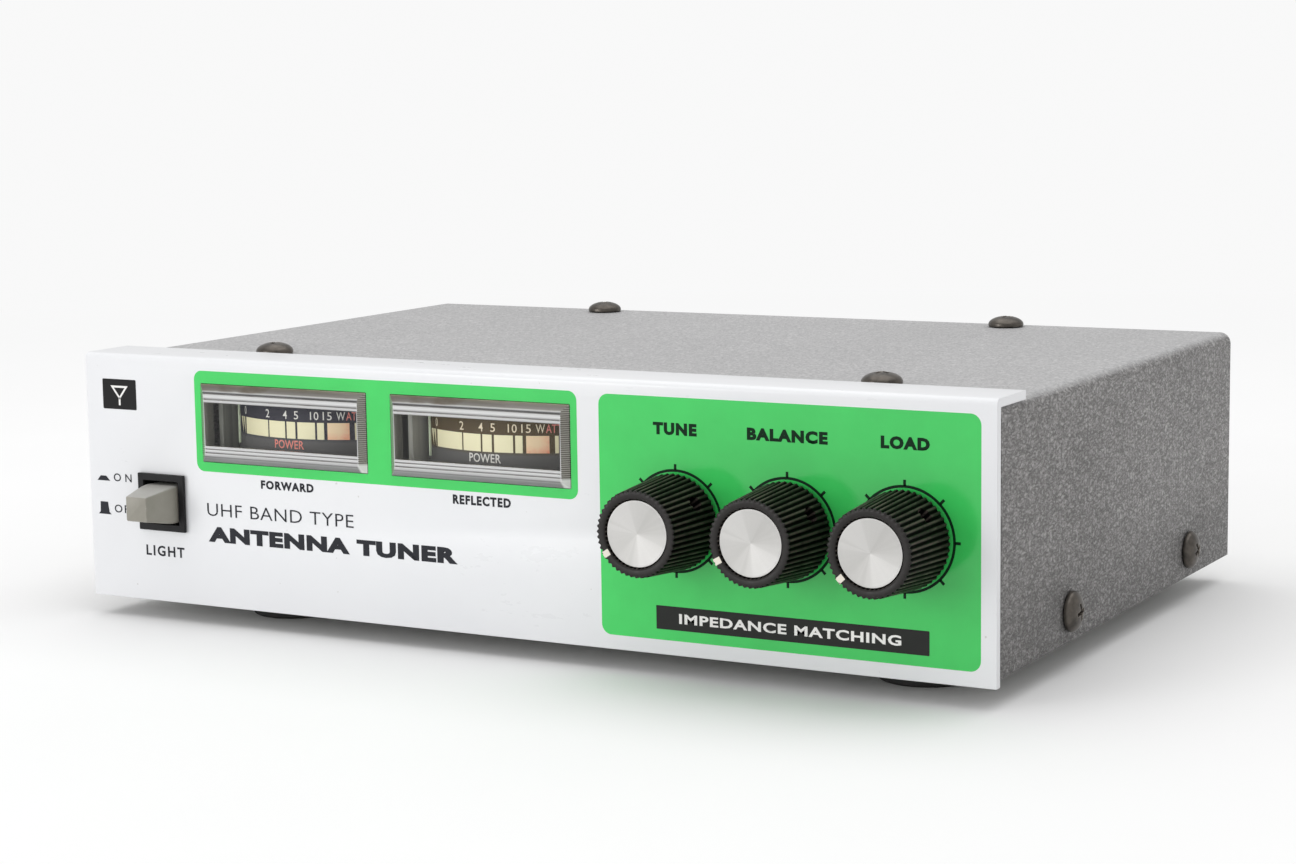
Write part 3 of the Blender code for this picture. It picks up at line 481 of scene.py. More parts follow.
BROWN_DIAL = dial_look("brown_dial", (0.085, 0.055, 0.018), (0.125, 0.125, 0.127))
KNOB = knob_look()
BLACK = surface("black_moulding", (0.005, 0.005, 0.006), (0.011, 0.011, 0.012), 8, (0.38, 0.5),
                grain=0.25, depth=0.008, worn=(0.06, 0.058, 0.055), Specular_IOR_Level=0.22)
# The button's upward faces are paler: dust and painted sheen.
BUTTON = surface("button_moulding", (0.251, 0.239, 0.202), (0.293, 0.279, 0.239), 5, (0.40, 0.52),
                 grain=0.2, depth=0.006, worn=(0.46, 0.44, 0.40), wear=0.5, dust_and_sheen=0.3)
SCREW = surface("screw_bronze", (0.060, 0.054, 0.048), (0.13, 0.115, 0.10), 2.5, (0.28, 0.42), 0.85,
                depth=0.008, worn=(0.45, 0.41, 0.36), edge=0.4, wear=0.46)
RUBBER = surface("foot_rubber", (0.014, 0.014, 0.014), (0.026, 0.025, 0.024), 6, (0.7, 0.85),
                 grain=0.4, depth=0.03, worn=(0.06, 0.058, 0.055))
ZINC = surface("zinc_plate", (0.50, 0.50, 0.48), (0.62, 0.62, 0.60), 7, (0.28, 0.45), 0.9,
               worn=(0.40, 0.38, 0.35), edge=0.3, wear=0.5, along=(1.0, 0.15, 1.0))
CASE = surface("case_moulding", (0.10, 0.105, 0.098), (0.50, 0.51, 0.47), 3.6, (0.4, 0.55),
               worn=(0.40, 0.39, 0.37), along=(1.0, 1.0, 0.03))
# A lighter copy of the case moulding: painted light in the second meter's interior.
CASE_PAINTED_LIGHTER = surface("case_moulding_painted_lighter", (0.42, 0.42, 0.39), (0.80, 0.80, 0.75), 3.6, (0.4, 0.55),
                    worn=(0.40, 0.39, 0.37), along=(1.0, 1.0, 0.03))
SMOKE = surface("switch_moulding", (0.10, 0.10, 0.095), (0.16, 0.16, 0.15), 5, (0.4, 0.55),
                worn=(0.30, 0.29, 0.27))
NICKEL = surface("nickel_plate", (0.58, 0.56, 0.51), (0.70, 0.68, 0.62), 3, (0.18, 0.32), 1.0,
                 depth=0.006, worn=(0.45, 0.38, 0.25), edge=0.25, wear=0.58)
BRASS = surface("brass_plate", (0.60, 0.43, 0.17), (0.74, 0.56, 0.25), 3, (0.22, 0.38), 1.0,
                depth=0.008, worn=(0.35, 0.25, 0.12), edge=0.25, wear=0.56)
COPPER = surface("enamelled_copper", (0.42, 0.16, 0.07), (0.60, 0.27, 0.13), 2, (0.25, 0.4), 0.9,
                 grain=0.15, depth=0.02, along=(0.1, 0.1, 1.0))
MAGNET = surface("sintered_magnet", (0.10, 0.10, 0.11), (0.17, 0.17, 0.18), 2, (0.4, 0.6), 0.8,
                 depth=0.03, worn=(0.35, 0.34, 0.33))
NEEDLE = surface("needle_paint", (0.56, 0.66, 0.50), (0.66, 0.76, 0.60), 2, grain=0.2, depth=0.004)
LAMP = surface("frosted_lamp", (0.84, 0.78, 0.62), (0.92, 0.88, 0.76), 2, (0.12, 0.25),
               Subsurface_Weight=0.3)
BOARD = surface("circuit_board", (0.20, 0.155, 0.055), (0.30, 0.24, 0.10), 5, (0.35, 0.55),
                grain=0.2, depth=0.02, worn=(0.45, 0.40, 0.28), along=(1.0, 0.3, 1.0))


# ---- shapes

def rotation(angle, axis):
    return Matrix.Rotation(radians(angle), 4, axis)


def mm(points):
    """Points given in millimetres, in metres."""
    return [tuple(value * MM for value in point) for point in points]


def arc(centre, radius, start, end, steps):
    """Points of an arc; angles in degrees, counted from the first axis."""
    turn = [radians(start + (end - start) * step / steps) for step in range(steps + 1)]
    return [(centre[0] + radius * cos(a), centre[1] + radius * sin(a)) for a in turn]


def circle(centre, radius, sides):
    return arc(centre, radius, 0, 360 * (sides - 1) / sides, sides - 1)


def rounded(x0, x1, z0, z1, radius, steps=8):
    """A rectangle with round corners, as a ring of points."""
    corners = ((x1 - radius, z0 + radius, -90), (x1 - radius, z1 - radius, 0),
               (x0 + radius, z1 - radius, 90), (x0 + radius, z0 + radius, 180))
    ring = []
    for x, z, start in corners:
        ring += arc((x, z), radius, start, start + 90, steps)
    return ring


def skin(shape, rows):
    """Faces between rings of corners; a ring of one corner is a point."""
    count = max(len(row) for row in rows)
    for near, far in zip(rows, rows[1:]):
        for side in range(count):
            after = (side + 1) % count
            corners = [near[side % len(near)], near[after % len(near)], far[after % len(far)],
                       far[side % len(far)]]
            shape.faces.new(sorted(set(corners), key=corners.index))


def outward(shape):
    """The shape, with its faces turned outwards."""
    bmesh.ops.recalc_face_normals(shape, faces=shape.faces)
    return shape


def loft(rings):
    """A solid through rings of equally many points."""
    shape = bmesh.new()
    rows = [[shape.verts.new(point) for point in ring] for ring in rings]
    skin(shape, rows)
    shape.faces.new(rows[0])
    shape.faces.new(rows[-1])
    return outward(shape)


def prism(outline, axis, start, end):
    """An outline of two coordinates, pulled along the third axis."""
    place = "XYZ".index(axis)
    return loft([[(*point[:place], depth, *point[place:]) for point in outline]
                 for depth in (start, end)])


def oblong(x0, x1, z0, z1):
    return [(x0, z0), (x1, z0), (x1, z1), (x0, z1)]


def block(low, high):
    """A box between two corners."""
    return prism(oblong(low[0], high[0], low[2], high[2]), "Y", low[1], high[1])


def lathe(profile, sides, radius_at=None):
    """A turned piece about Z. radius_at(radius, height, turn) may shape the rings."""
    shape = bmesh.new()
    rows = []
    for radius, height in profile:
        row = []
        for side in range(sides if radius else 1):
            turn = 2 * pi * side / sides
            at = radius_at(radius, height, turn) if radius_at else radius
            row.append(shape.verts.new((at * cos(turn), at * sin(turn), height)))
        rows.append(row)
    skin(shape, rows)
    return outward(shape)


def turned_by(shape, angle):
    """The shape, turned about Z by degrees."""
    bmesh.ops.transform(shape, matrix=rotation(angle, "Z"), verts=shape.verts)
    return shape


def together(shapes):
    """Several shapes as one."""
    whole = bmesh.new()
    carrier = bpy.data.meshes.new("carrier")
    for shape in shapes:
        shape.to_mesh(carrier)
        shape.free()
        whole.from_mesh(carrier)
    bpy.data.meshes.remove(carrier)
    return whole


def linked(name, data):
    """An object of the data, in the scene."""
    made = bpy.data.objects.new(name, data)
    bpy.context.collection.objects.link(made)
    return made


def object_from(name, shape, look, at=Matrix()):
    mesh = bpy.data.meshes.new(name)
    shape.to_mesh(mesh)
    shape.free()
    mesh.materials.append(look)
    made = linked(name, mesh)
    made.matrix_world = at
    return made


def evaluated_mesh(made):
    bpy.context.view_layer.update()
    return bpy.data.meshes.new_from_object(made.evaluated_get(bpy.context.evaluated_depsgraph_get()))


def soften(made, width, steps, limit):
    bevel = made.modifiers.new("soft", "BEVEL")
    bevel.width = width
    bevel.segments = steps
    bevel.limit_method = "ANGLE"
    bevel.angle_limit = radians(limit)
    return bevel


def piece(name, shape, look, stands_for=(), body=CABINET, at=Matrix(), cuts=(), soft=0.0,
          steps=2, sharp=35.0, limit=40.0):
    """A finished piece: cut, with softened edges, smooth between its sharp ones, on its body."""
    made = object_from(name, shape, look, at)
    tools = [object_from(f"{name}_cut{number}", cut, look, at) for number, cut in enumerate(cuts)]
    for tool in tools:
        change = made.modifiers.new("cut", "BOOLEAN")
        change.operation = "DIFFERENCE"
        change.solver = "EXACT"
        change.object = tool
    if soft:
        soften(made, soft, steps, limit)
    if made.modifiers:
        ready = evaluated_mesh(made)
        made.modifiers.clear()
        made.data = ready
    made.data.shade_smooth()
    made.data.set_sharp_from_angle(angle=radians(sharp))
    for tool in tools:
        bpy.data.objects.remove(tool)
    bpy.context.view_layer.update()
    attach(made, body)
    if stands_for:
        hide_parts(*stands_for)


def keep_node(node, look, soft):
    """A CAD node that stays, with its own material and rounded edges."""
    made = frame["nodes"][node]
    made.data.materials.clear()
    made.data.materials.append(look)
    stored = made.data.attributes.get("custom_normal")
    if stored:
        made.data.attributes.remove(stored)
    made.data.shade_smooth()
    weld = made.modifiers.new("weld", "WELD")
    weld.merge_threshold = 1e-6
    flat = made.modifiers.new("flat", "DECIMATE")
    flat.decimate_type = "DISSOLVE"
    flat.angle_limit = radians(0.6)
    soften(made, soft, 2, 38).harden_normals = True


def middle(node):
    low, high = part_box(node)
    return (low + high) / 2


# ---- flat print

def flat_print(outlines, layer=OVER_INK):
    """Ink in the panel's plane: rings of (x, z) from the panel's lower middle, holes inside."""
    curve = bpy.data.curves.new("ink", "CURVE")
    curve.dimensions = "2D"
    curve.fill_mode = "BOTH"
    curve.extrude = (layer[1] - layer[0]) / 2
    for ring in outlines:
        line = curve.splines.new("POLY")
        line.points.add(len(ring) - 1)
        for point, (x, z) in zip(line.points, ring):
            point.co = (x, z, 0.0, 1.0)
        line.use_cyclic_u = True
    return stand_up(curve, lambda x, z: (x, z), layer)


def stand_up(curve, fit, layer):
    """A flat curve or text as a shape just in front of the panel's face."""
    holder = linked("holder", curve)
    mesh = evaluated_mesh(holder)
    bpy.data.objects.remove(holder)
    shape = bmesh.new()
    shape.from_mesh(mesh)
    bpy.data.meshes.remove(mesh)
    bmesh.ops.remove_doubles(shape, verts=shape.verts, dist=1e-7)
    for corner in shape.verts:
        x, z = fit(corner.co.x, corner.co.y)
        depth = layer[1] if corner.co.z > 0 else layer[0]
        corner.co = (MID_X + x, FACE_Y - depth, EDGE_Z + z)
    return outward(shape)


def word(text, box, weight=0.0, spread=1.0, layer=OVER_INK):
    """Lettering that fills the box x0, x1, z0, z1 in millimetres."""
    curve = bpy.data.curves.new("word", "FONT")
    curve.body = text
    curve.offset = weight
    curve.resolution_u = 3
    curve.extrude = 0.01
    curve.space_character = spread
    probe = linked("probe", curve)
    bpy.context.view_layer.update()
    low, high = ([pick(corner[axis] for corner in probe.bound_box) for axis in range(2)]
                 for pick in (min, max))
    bpy.data.objects.remove(probe)
    x0, x1, z0, z1 = (value * MM for value in box)

    def fit(x, z):
        return (x0 + (x - low[0]) / (high[0] - low[0]) * (x1 - x0),
                z0 + (z - low[1]) / (high[1] - low[1]) * (z1 - z0))
    return stand_up(curve, fit, layer)


def on_dial(shape, pivot, radius):
    """Bends print from the panel's plane onto a dial round a vertical axis."""
    for corner in shape.verts:
        out = radius + (FACE_Y - corner.co.y) - OVER_INK[0] + 0.01 * MM
        turn = (corner.co.x - MID_X) / radius
        corner.co = (pivot.x + out * sin(turn), pivot.y - out * cos(turn), corner.co.z)
    return shape


# ---- cabinet

def meter_opening(name, spare):
    low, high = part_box(f"{name}_lens")
    return (low.x - spare, high.x + spare, low.z - spare, high.z + spare)


def make_panel():
    inner = 0.3 * MM
    top = PANEL_HIGH.z
    outline = [(FACE_Y, EDGE_Z), (FACE_Y + SHEET, EDGE_Z)]
    outline += arc((FACE_Y + SHEET + inner, top - SHEET - inner), inner, 180, 90, 4)
    outline += [(PANEL_HIGH.y, top - SHEET), (PANEL_HIGH.y, top)]
    outline += arc((FACE_Y + PANEL_BEND, top - PANEL_BEND), PANEL_BEND, 90, 180, 10)
    openings = [meter_opening(name, GAP) for name in METERS]
    switch = middle("switch_bezel")
    half = SWITCH_HOLE_HALF
    openings.append((switch.x - half, switch.x + half, switch.z - half, switch.z + half))
    before, behind = FACE_Y - SHEET, FACE_Y + 2 * SHEET
    holes = [block((x0, before, z0), (x1, behind, z1)) for x0, x1, z0, z1 in openings]
    for name in CONTROLS:
        at = middle(f"{name}_knob")
        holes.append(prism(circle((at.x, at.z), BUSHING_HOLE, 32), "Y", before, behind))
    piece("panel_sheet", prism(outline, "X", PANEL_LOW.x, PANEL_HIGH.x), PANEL, ["front_panel"],
          cuts=[together(holes)], soft=0.18 * MM, steps=3)


def make_cover():
    low, high = COVER_LOW, COVER_HIGH

    def section(x_edge, top, radius):
        left = arc((-x_edge + radius, top - radius), radius, 180, 90, 10)
        right = arc((x_edge - radius, top - radius), radius, 90, 0, 10)
        return [(-x_edge, low.z)] + left + right + [(x_edge, low.z)]
    inner = high.x - COVER_SHEET
    outline = section(high.x, high.z, COVER_BEND)
    outline += section(inner, high.z - COVER_SHEET, COVER_BEND - COVER_SHEET)[::-1]
    notch_z = PANEL_HIGH.z - SHEET - GAP
    notch_back = PANEL_HIGH.y + GAP
    wide = high.x + 5 * MM
    # The top stops behind the panel's flange, and the side walls run on below it.
    notch = [block((-wide, low.y - MM, notch_z), (wide, notch_back, high.z + 5 * MM)),
             block((-inner, low.y - MM, high.z - 10 * MM), (inner, notch_back, notch_z + MM))]
    holes = []
    reach = 5 * MM
    for end, hand in CORNERS:
        at = middle(f"cover_screw_top_{end}_{hand}")
        holes.append(prism(circle((at.x, at.y), SCREW_HOLE, 24), "Z", high.z - reach, high.z + reach))
        at = middle(f"cover_screw_{hand}_{end}")
        edge = high.x if hand == "right" else -high.x
        holes.append(prism(circle((at.y, at.z), SCREW_HOLE, 24), "X", edge - reach, edge + reach))
    piece("cover_shell", prism(outline, "Y", low.y, high.y), GRAIN, ["cover"],
          cuts=[*notch, together(holes)], soft=0.22 * MM, steps=3)


def make_screws():
    """Truss heads with a cross recess, on short threaded shanks; the seat is at z = GAP."""
    seat = GAP / MM
    profile = [(0.0, -SHANK_LENGTH), (1.6, -SHANK_LENGTH), (SHANK_RADIUS, 0.4 - SHANK_LENGTH)]
    for step in range(4):
        z = 0.6 - SHANK_LENGTH + step * 0.7
        profile += [(SHANK_RADIUS, z), (ROOT_RADIUS, z + 0.35)]
    profile += [(SHANK_RADIUS, -0.6), (SHANK_RADIUS, seat), (HEAD_RADIUS - 0.15, seat),
                (HEAD_RADIUS, seat + 0.12)]
    for step in range(1, 12):
        a = pi / 2 * step / 12
        profile.append((HEAD_RADIUS * cos(a), seat + HEAD_HEIGHT * (0.16 + 0.84 * sin(a))))
    profile.append((0.0, seat + HEAD_HEIGHT))
    names = [f"top_{end}_{hand}" for end, hand in CORNERS] + [f"{hand}_{end}" for end, hand in CORNERS]
    reach = HEAD_HEIGHT * MM + GAP
    for number, name in enumerate(names):
        node = f"cover_screw_{name}"
        low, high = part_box(node)
        at = (low + high) / 2
        if name.startswith("top"):
            turn = Matrix.Identity(4)
            at.z = high.z - reach
        elif name.startswith("left"):
            turn = rotation(-90, "Y")
            at.x = low.x + reach
        else:
            turn = rotation(90, "Y")
            at.x = high.x - reach
        arms = [loft([mm([(x * long, y * wide, z) for x, y in ((-1, -1), (1, -1), (1, 1), (-1, 1))])
                      for long, wide, z in ((2.25, 0.5, 3.2), (1.0, 0.32, 1.0))]) for _ in range(2)]
        turned_by(arms[1], 90)
        piece(f"{node}_fine", lathe(mm(profile), 48), SCREW, [node], cuts=arms,
              at=Matrix.Translation(at) @ turn @ rotation(17 + 53 * number, "Z"), soft=0.1 * MM, limit=50)


def make_feet():
    """Round feet that narrow to a smaller, rounded underside."""
    for end, hand in CORNERS:
        node = f"foot_{end}_{hand}"
        low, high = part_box(node)
        radius = (high.x - low.x) / 2
        height = high.z - low.z
        under = radius - 1.3 * MM
        curl = 0.8 * MM
        profile = [(0.0, 0.0), (under, 0.0)] + arc((under, curl), curl, -75, 0, 5)
        profile += [(radius - 0.25 * MM, height - 0.8 * MM), (radius, height - 0.25 * MM),
                    (radius, height), (0.0, height)]
        at = Matrix.Translation(((low.x + high.x) / 2, (low.y + high.y) / 2, low.z))
        piece(f"{node}_moulded", lathe(profile, 64), RUBBER, [node], at=at)


# ---- print on the panel

def field(*box_and_radius, steps=8):
    """A round-cornered rectangle given in millimetres."""
    return rounded(*(value * MM for value in box_and_radius), steps)


def printed(name, shapes, look):
    piece(name, together(shapes), look)


def make_green_fields():
    meters = [field(-86.4, 20.4, 33.1, 57.5, 2.2)]
    for name in METERS:
        x0, x1, z0, z1 = meter_opening(name, 0.15 * MM)
        meters.append(rounded(x0 - MID_X, x1 - MID_X, z0 - EDGE_Z, z1 - EDGE_Z, 0.3 * MM, 3))
    printed("green_field_meters", [flat_print(meters, UNDER_INK)], GREEN)
    controls = [field(26.0, 116.5, 3.3, 57.3, 2.4)]
    for name in CONTROLS:
        at = middle(f"{name}_knob")
        controls.append(circle((at.x - MID_X, at.z - EDGE_Z), BUSHING_HOLE, 48))
    printed("green_field_controls", [flat_print(controls, UNDER_INK)], GREEN)


def make_control_rings():
    """A ring with eight ticks round each knob."""
    rings = []
    for name in CONTROLS:
        at = middle(f"{name}_knob")
        x, z = at.x - MID_X, at.z - EDGE_Z
        rings.append(flat_print([circle((x, z), radius * MM, 96) for radius in (11.5, 10.9)]))
        for number in range(8):
            turn = Matrix.Rotation(radians(45 * number), 2)
            tick = [turn @ Vector(corner) for corner in mm(oblong(11.3, 12.6, -0.31, 0.31))]
            rings.append(flat_print([[(x + corner.x, z + corner.y) for corner in tick]]))
    printed("control_rings", rings, DARK_ON_GREEN)


def make_words():
    names = (("TUNE", 39.7, 50.5), ("BALANCE", 62.7, 81.8), ("LOAD", 94.0, 105.1))
    printed("control_words", [word(text, (x0, x1, 48.95, 51.7), 0.062, 1.18) for text, x0, x1 in names],
            DARK_ON_GREEN)
    dark = [word("FORWARD", (-67.4, -52.0, 29.9, 32.0), 0.046, 1.2),
            word("REFLECTED", (-12.9, 2.7, 30.0, 32.2), 0.046, 1.2),
            word("UHF BAND TYPE", (-83.8, -40.8, 22.3, 25.4), -0.006, 1.06),
            word("ANTENNA TUNER", (-83.7, -12.0, 15.9, 19.7), 0.062, 1.12),
            word("LIGHT", (-103.1, -91.3, 11.2, 13.8), 0.024, 1.25),
            word("ON", (-112.5, -106.9, 28.9, 30.9), 0.006, 1.7),
            word("OFF", (-112.6, -106.3, 21.1, 23.1), 0.006, 1.25)]
    low_icon = [(-117.7, 28.9), (-113.7, 28.9), (-114.9, 30.1), (-116.6, 30.1)]
    high_icon = [(-117.7, 20.5), (-113.7, 20.5), (-114.3, 21.1), (-114.7, 23.6), (-117.0, 23.6),
                 (-117.1, 21.1)]
    dark += [flat_print([mm(icon)]) for icon in (low_icon, high_icon)]
    printed("panel_words", dark, DARK_INK)


def make_plates():
    """The dark strip with the tuner's function, and the dark square with an antenna's sign."""
    printed("function_strip", [flat_print([field(39.9, 105.0, 5.7, 11.0, 0.15, steps=2)])], STRIP_INK)
    printed("sign_square", [flat_print([field(-114.8, -104.4, 46.9, 54.3, 0.3, steps=3)])], BLACK_INK)
    x, z = -109.6, 50.4
    funnel = [[(x - 2.7, z + 2.3), (x + 2.7, z + 2.3), (x, z - 1.1)],
              [(x - 1.7, z + 1.8), (x + 1.7, z + 1.8), (x, z - 0.35)]]
    mast = [oblong(x - 0.28, x + 0.28, z - 2.5, z - 0.6)]
    pale = [flat_print([mm(ring) for ring in rings], TOP_INK) for rings in (funnel, mast)]
    pale.append(word("IMPEDANCE MATCHING", (45.6, 98.6, 7.25, 9.5), 0.03, 1.1, TOP_INK))
    printed("plate_print", pale, PALE_INK)


# ---- meters

def lens_ring(half_x, half_z, y):
    """A rectangle whose two ends are pleated into ribs, as a ring of points."""
    pitch = LENS_RIB_SPAN / LENS_RIBS
    ring = []
    for sign in (1, -1):
        ring.append((sign * half_x, y, -sign * half_z))
        for number in range(LENS_RIBS + 1):
            z = sign * (number * pitch - LENS_RIB_SPAN / 2)
            ring.append((sign * half_x, y, z))
            if number < LENS_RIBS:
                ring.append((sign * (half_x - LENS_RIB_DEPTH), y, z + sign * pitch / 2))
        ring.append((sign * half_x, y, sign * half_z))
    return ring


def make_lens(name):
    """A clear moulding: a window between grooved bands, bevelled and ribbed at its ends."""
    low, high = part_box(f"{name}_lens")
    mid = (low + high) / 2
    half_x, half_z = (high.x - low.x) / 2, (high.z - low.z) / 2
    back = high.y - FACE_Y
    front = -LENS_DEPTH
    place = Matrix.Translation((mid.x, FACE_Y, mid.z))
    front_x, front_z = half_x - LENS_BEVEL, half_z - LENS_BEVEL
    shell = loft([lens_ring(half_x, half_z, back), lens_ring(half_x, half_z, -0.5 * GAP),
                  lens_ring(front_x, front_z, front)])
    window_low, window_high = WINDOW
    hollow_x = half_x - 1.2 * MM
    hollow = block((-hollow_x, -0.2 * MM, -7.9 * MM), (hollow_x, back + MM, 7.9 * MM))
    open_x = front_x - 0.35 * MM
    opening = block((-open_x, front - MM, window_low), (open_x, 0.2 * MM, window_high))
    grooves = []
    for z, half in LENS_GROOVES:
        outline = [(front + deep * MM, z + side * half)
                   for deep, side in ((-0.1, -1), (0.32, -0.4), (0.32, 0.4), (-0.1, 1))]
        grooves.append(prism(outline, "X", -open_x, open_x))
    piece(f"{name}_lens_frame", shell, LENS_WALL, [f"{name}_lens"], at=place,
          cuts=[hollow, opening, together(grooves)], soft=0.05 * MM, limit=60, sharp=25)
    rim = 0.02 * MM
    pane = block((rim - open_x, front + 0.1 * MM, window_low + rim),
                 (open_x - rim, -0.25 * MM, window_high - rim))
    piece(f"{name}_window", pane, WINDOW_LOOK, [f"{name}_lens"], at=place)


def make_dial(name, card, number_ink, power_ink):
    """A curved card round the needle's axis, with its scale and lettering."""
    low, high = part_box(f"{name}_dial")
    joint = next(item for item in frame["joints"] if item["name"] == f"{name}_needle_swing")
    pivot = Vector(joint["pos_m"])
    radius = pivot.y - low.y
    turn_by = DIAL_TURN[name]

    def on_arc(out, angle):
        turn = radians(angle)
        return (pivot.x + out * sin(turn), pivot.y - out * cos(turn))

    def patch(inner, outer, start, end, z0, z1):
        """A thin curved patch; angles in degrees from straight ahead."""
        steps = max(2, int(abs(end - start) / 1.5))
        angles = [start + (end - start) * step / steps for step in range(steps + 1)]
        ring = [on_arc(outer, angle) for angle in angles]
        ring += [on_arc(inner, angle) for angle in angles[::-1]]
        return prism(ring, "Z", z0, z1)
    half = degrees(asin((high.x - low.x) / 2 / radius))
    piece(f"{name}_card", patch(radius - 0.6 * MM, radius, -half, half, low.z, high.z), card,
          [f"{name}_dial"], soft=0.05 * MM, limit=60)
    inner, outer = radius + 0.01 * MM, radius + 0.04 * MM
    z0, z1 = EDGE_Z + BAND[0], EDGE_Z + BAND[1]
    scale = [patch(inner, outer, a + turn_by, b + turn_by, z0, z1) for a, b in CREAM_BLOCKS]
    scale += [loft([[(*on_arc(out, angle + turn_by), z) for angle, z in ((a, z1), (b, z1), (b, z0))]
                    for out in (inner, outer)]) for a, b in CREAM_TEETH]
    printed(f"{name}_scale", scale, CREAM_INK)
    start, end = (angle + turn_by for angle in ORANGE_BLOCK)
    printed(f"{name}_overload", [patch(inner, outer, start, end, z0, z1)], ORANGE_INK)

    def lettering(part, marks, z_span, weight, ink):
        per_degree = radius * radians(1.0) / MM
        shapes = []
        for text, start, end in marks:
            box = ((start + turn_by) * per_degree, (end + turn_by) * per_degree, *z_span)
            shapes.append(on_dial(word(text, box, weight, 1.05), pivot, radius))
        printed(f"{name}_{part}", shapes, ink)
    lettering("numerals", NUMERALS, NUMERAL_Z, 0.003, number_ink)
    lettering("red_letters", RED_NUMERALS, NUMERAL_Z, 0.003, RED_INK)
    lettering("power_word", POWER_WORD, POWER_Z, 0.010, power_ink)


# ---- controls and switch

def fluted(radius, height, turn):
    """Grooves round the knob's side, up to the front edge and fading out at the back."""
    if radius < FLUTED_FROM or height < 0.9 * MM:
        return radius
    start = min(1.0, (height - 0.7 * MM) / (0.5 * MM))
    ridge = cos(turn * FLUTES / 2) ** 2
    return radius - FLUTE_DEPTH * (1 - ridge) * start


def make_knob_mark(name, turn, place):
    """A bent strip of paint from the knob's rim over its front edge."""
    half = MARK_HALF_WIDTH
    sheet = bmesh.new()
    grid = [[sheet.verts.new(point) for point in mm([(radius, side * half, height)
                                                     for side in (-1, -0.6, 0.6, 1)])]
            for radius, height in MARK_PROFILE]
    for near, far in zip(grid, grid[1:]):
        for side in range(3):
            sheet.faces.new((near[side], near[side + 1], far[side + 1], far[side]))
    bmesh.ops.solidify(outward(sheet), geom=sheet.faces[:], thickness=0.12 * MM)
    piece(f"{name}_knob_mark", turned_by(outward(sheet), turn), MARK_PAINT, (),
          f"{name}_shaft", place)


def make_inlay(name, place):
    """A disc with twelve fine turned grooves, dished a little."""
    low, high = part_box(f"{name}_knob_inlay")
    radius = (high.x - low.x) / 2 + 0.25 * MM
    bottom, top = FACE_Y - high.y, FACE_Y - low.y
    profile = [(0.0, bottom), (radius, bottom), (radius, top)]
    grooves = 12
    for number in range(1, grooves):
        at = (radius - 0.3 * MM) * (1 - number / grooves)
        profile += [(at + 0.12 * MM, top - 0.003 * MM), (at, top - 0.012 * MM)]
    profile.append((0.0, top - 0.02 * MM))
    piece(f"{name}_spun_inlay", lathe(profile, 96), SPUN, [f"{name}_knob_inlay"],
          f"{name}_shaft", place, sharp=60)


def make_knob(name):
    at = middle(f"{name}_knob")
    place = Matrix.Translation((at.x, FACE_Y, at.z)) @ rotation(90, "X")
    turn = KNOB_MARK[name]
    screw_hole = prism(circle((0, 6.8 * MM), 1.8 * MM, 24), "X", 3.5 * MM, 12 * MM)
    piece(f"{name}_fluted_knob", lathe(mm(KNOB_PROFILE), FLUTES * FLUTE_STEPS, fluted), KNOB,
          [f"{name}_knob"], f"{name}_shaft", place, [turned_by(screw_hole, turn + 180)],
          sharp=50)
    make_knob_mark(name, turn, place)
    make_inlay(name, place)


def make_button():
    """A tapered cap that widens into a straight skirt, on a thin stem."""
    low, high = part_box("switch_button")
    at = middle("switch_button")
    sections = [(low.y + back * MM, *sizes) for back, *sizes in BUTTON_SECTIONS]
    sections.append((high.y, *BUTTON_SECTIONS[-1][1:]))
    rings = []
    for y, half_x, half_z, radius in sections:
        ring = field(-half_x, half_x, -half_z, half_z, radius, steps=6)
        rings.append([(at.x + x, y, at.z - BUTTON_DROP + z) for x, z in ring])
    piece("button_cap", loft(rings), BUTTON, ["switch_button"], "button", sharp=30)


# ---- back

def make_socket(name):
    """A threaded coaxial barrel on a square flange."""
    low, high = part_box(f"{name}_socket")
    at = (low + high) / 2
    half = (high.x - low.x) / 2
    wall = COVER_HIGH.y - 0.5 * MM
    place = Matrix.Translation((at.x, wall, at.z)) @ rotation(-90, "X")
    mouth = (high.y - wall) / MM
    profile = [(3.6, -8), (6.4, -8), (6.4, 1.3), (7.9, 1.3)]
    pitch = 0.9
    z = 3.2
    while z < mouth - 1.4:
        profile += [(7.9, z), (7.45, z + pitch / 2)]
        z += pitch
    profile += [(7.9, z), (7.9, mouth - 0.5), (7.4, mouth), (6.35, mouth), (6.2, mouth - 0.2), (6.2, 5),
                (3.6, 5), (3.6, -8)]
    barrel = lathe(mm(profile), 64)
    bmesh.ops.remove_doubles(barrel, verts=barrel.verts, dist=1e-7)
    piece(f"{name}_threaded_barrel", outward(barrel), NICKEL, [f"{name}_socket"], at=place,
          sharp=30)
    plate = prism(rounded(-half, half, -half, half, 1.6 * MM, 6), "Z", GAP, 2.3 * MM)
    bore = prism(circle((0, 0), 6.6 * MM, 48), "Z", -MM, 4 * MM)
    piece(f"{name}_flange", plate, NICKEL, [f"{name}_socket"], at=place, cuts=[bore],
          soft=0.15 * MM)


# ---- everything

make_panel()
make_cover()
make_screws()
make_feet()
make_green_fields()
make_control_rings()
make_words()
make_plates()
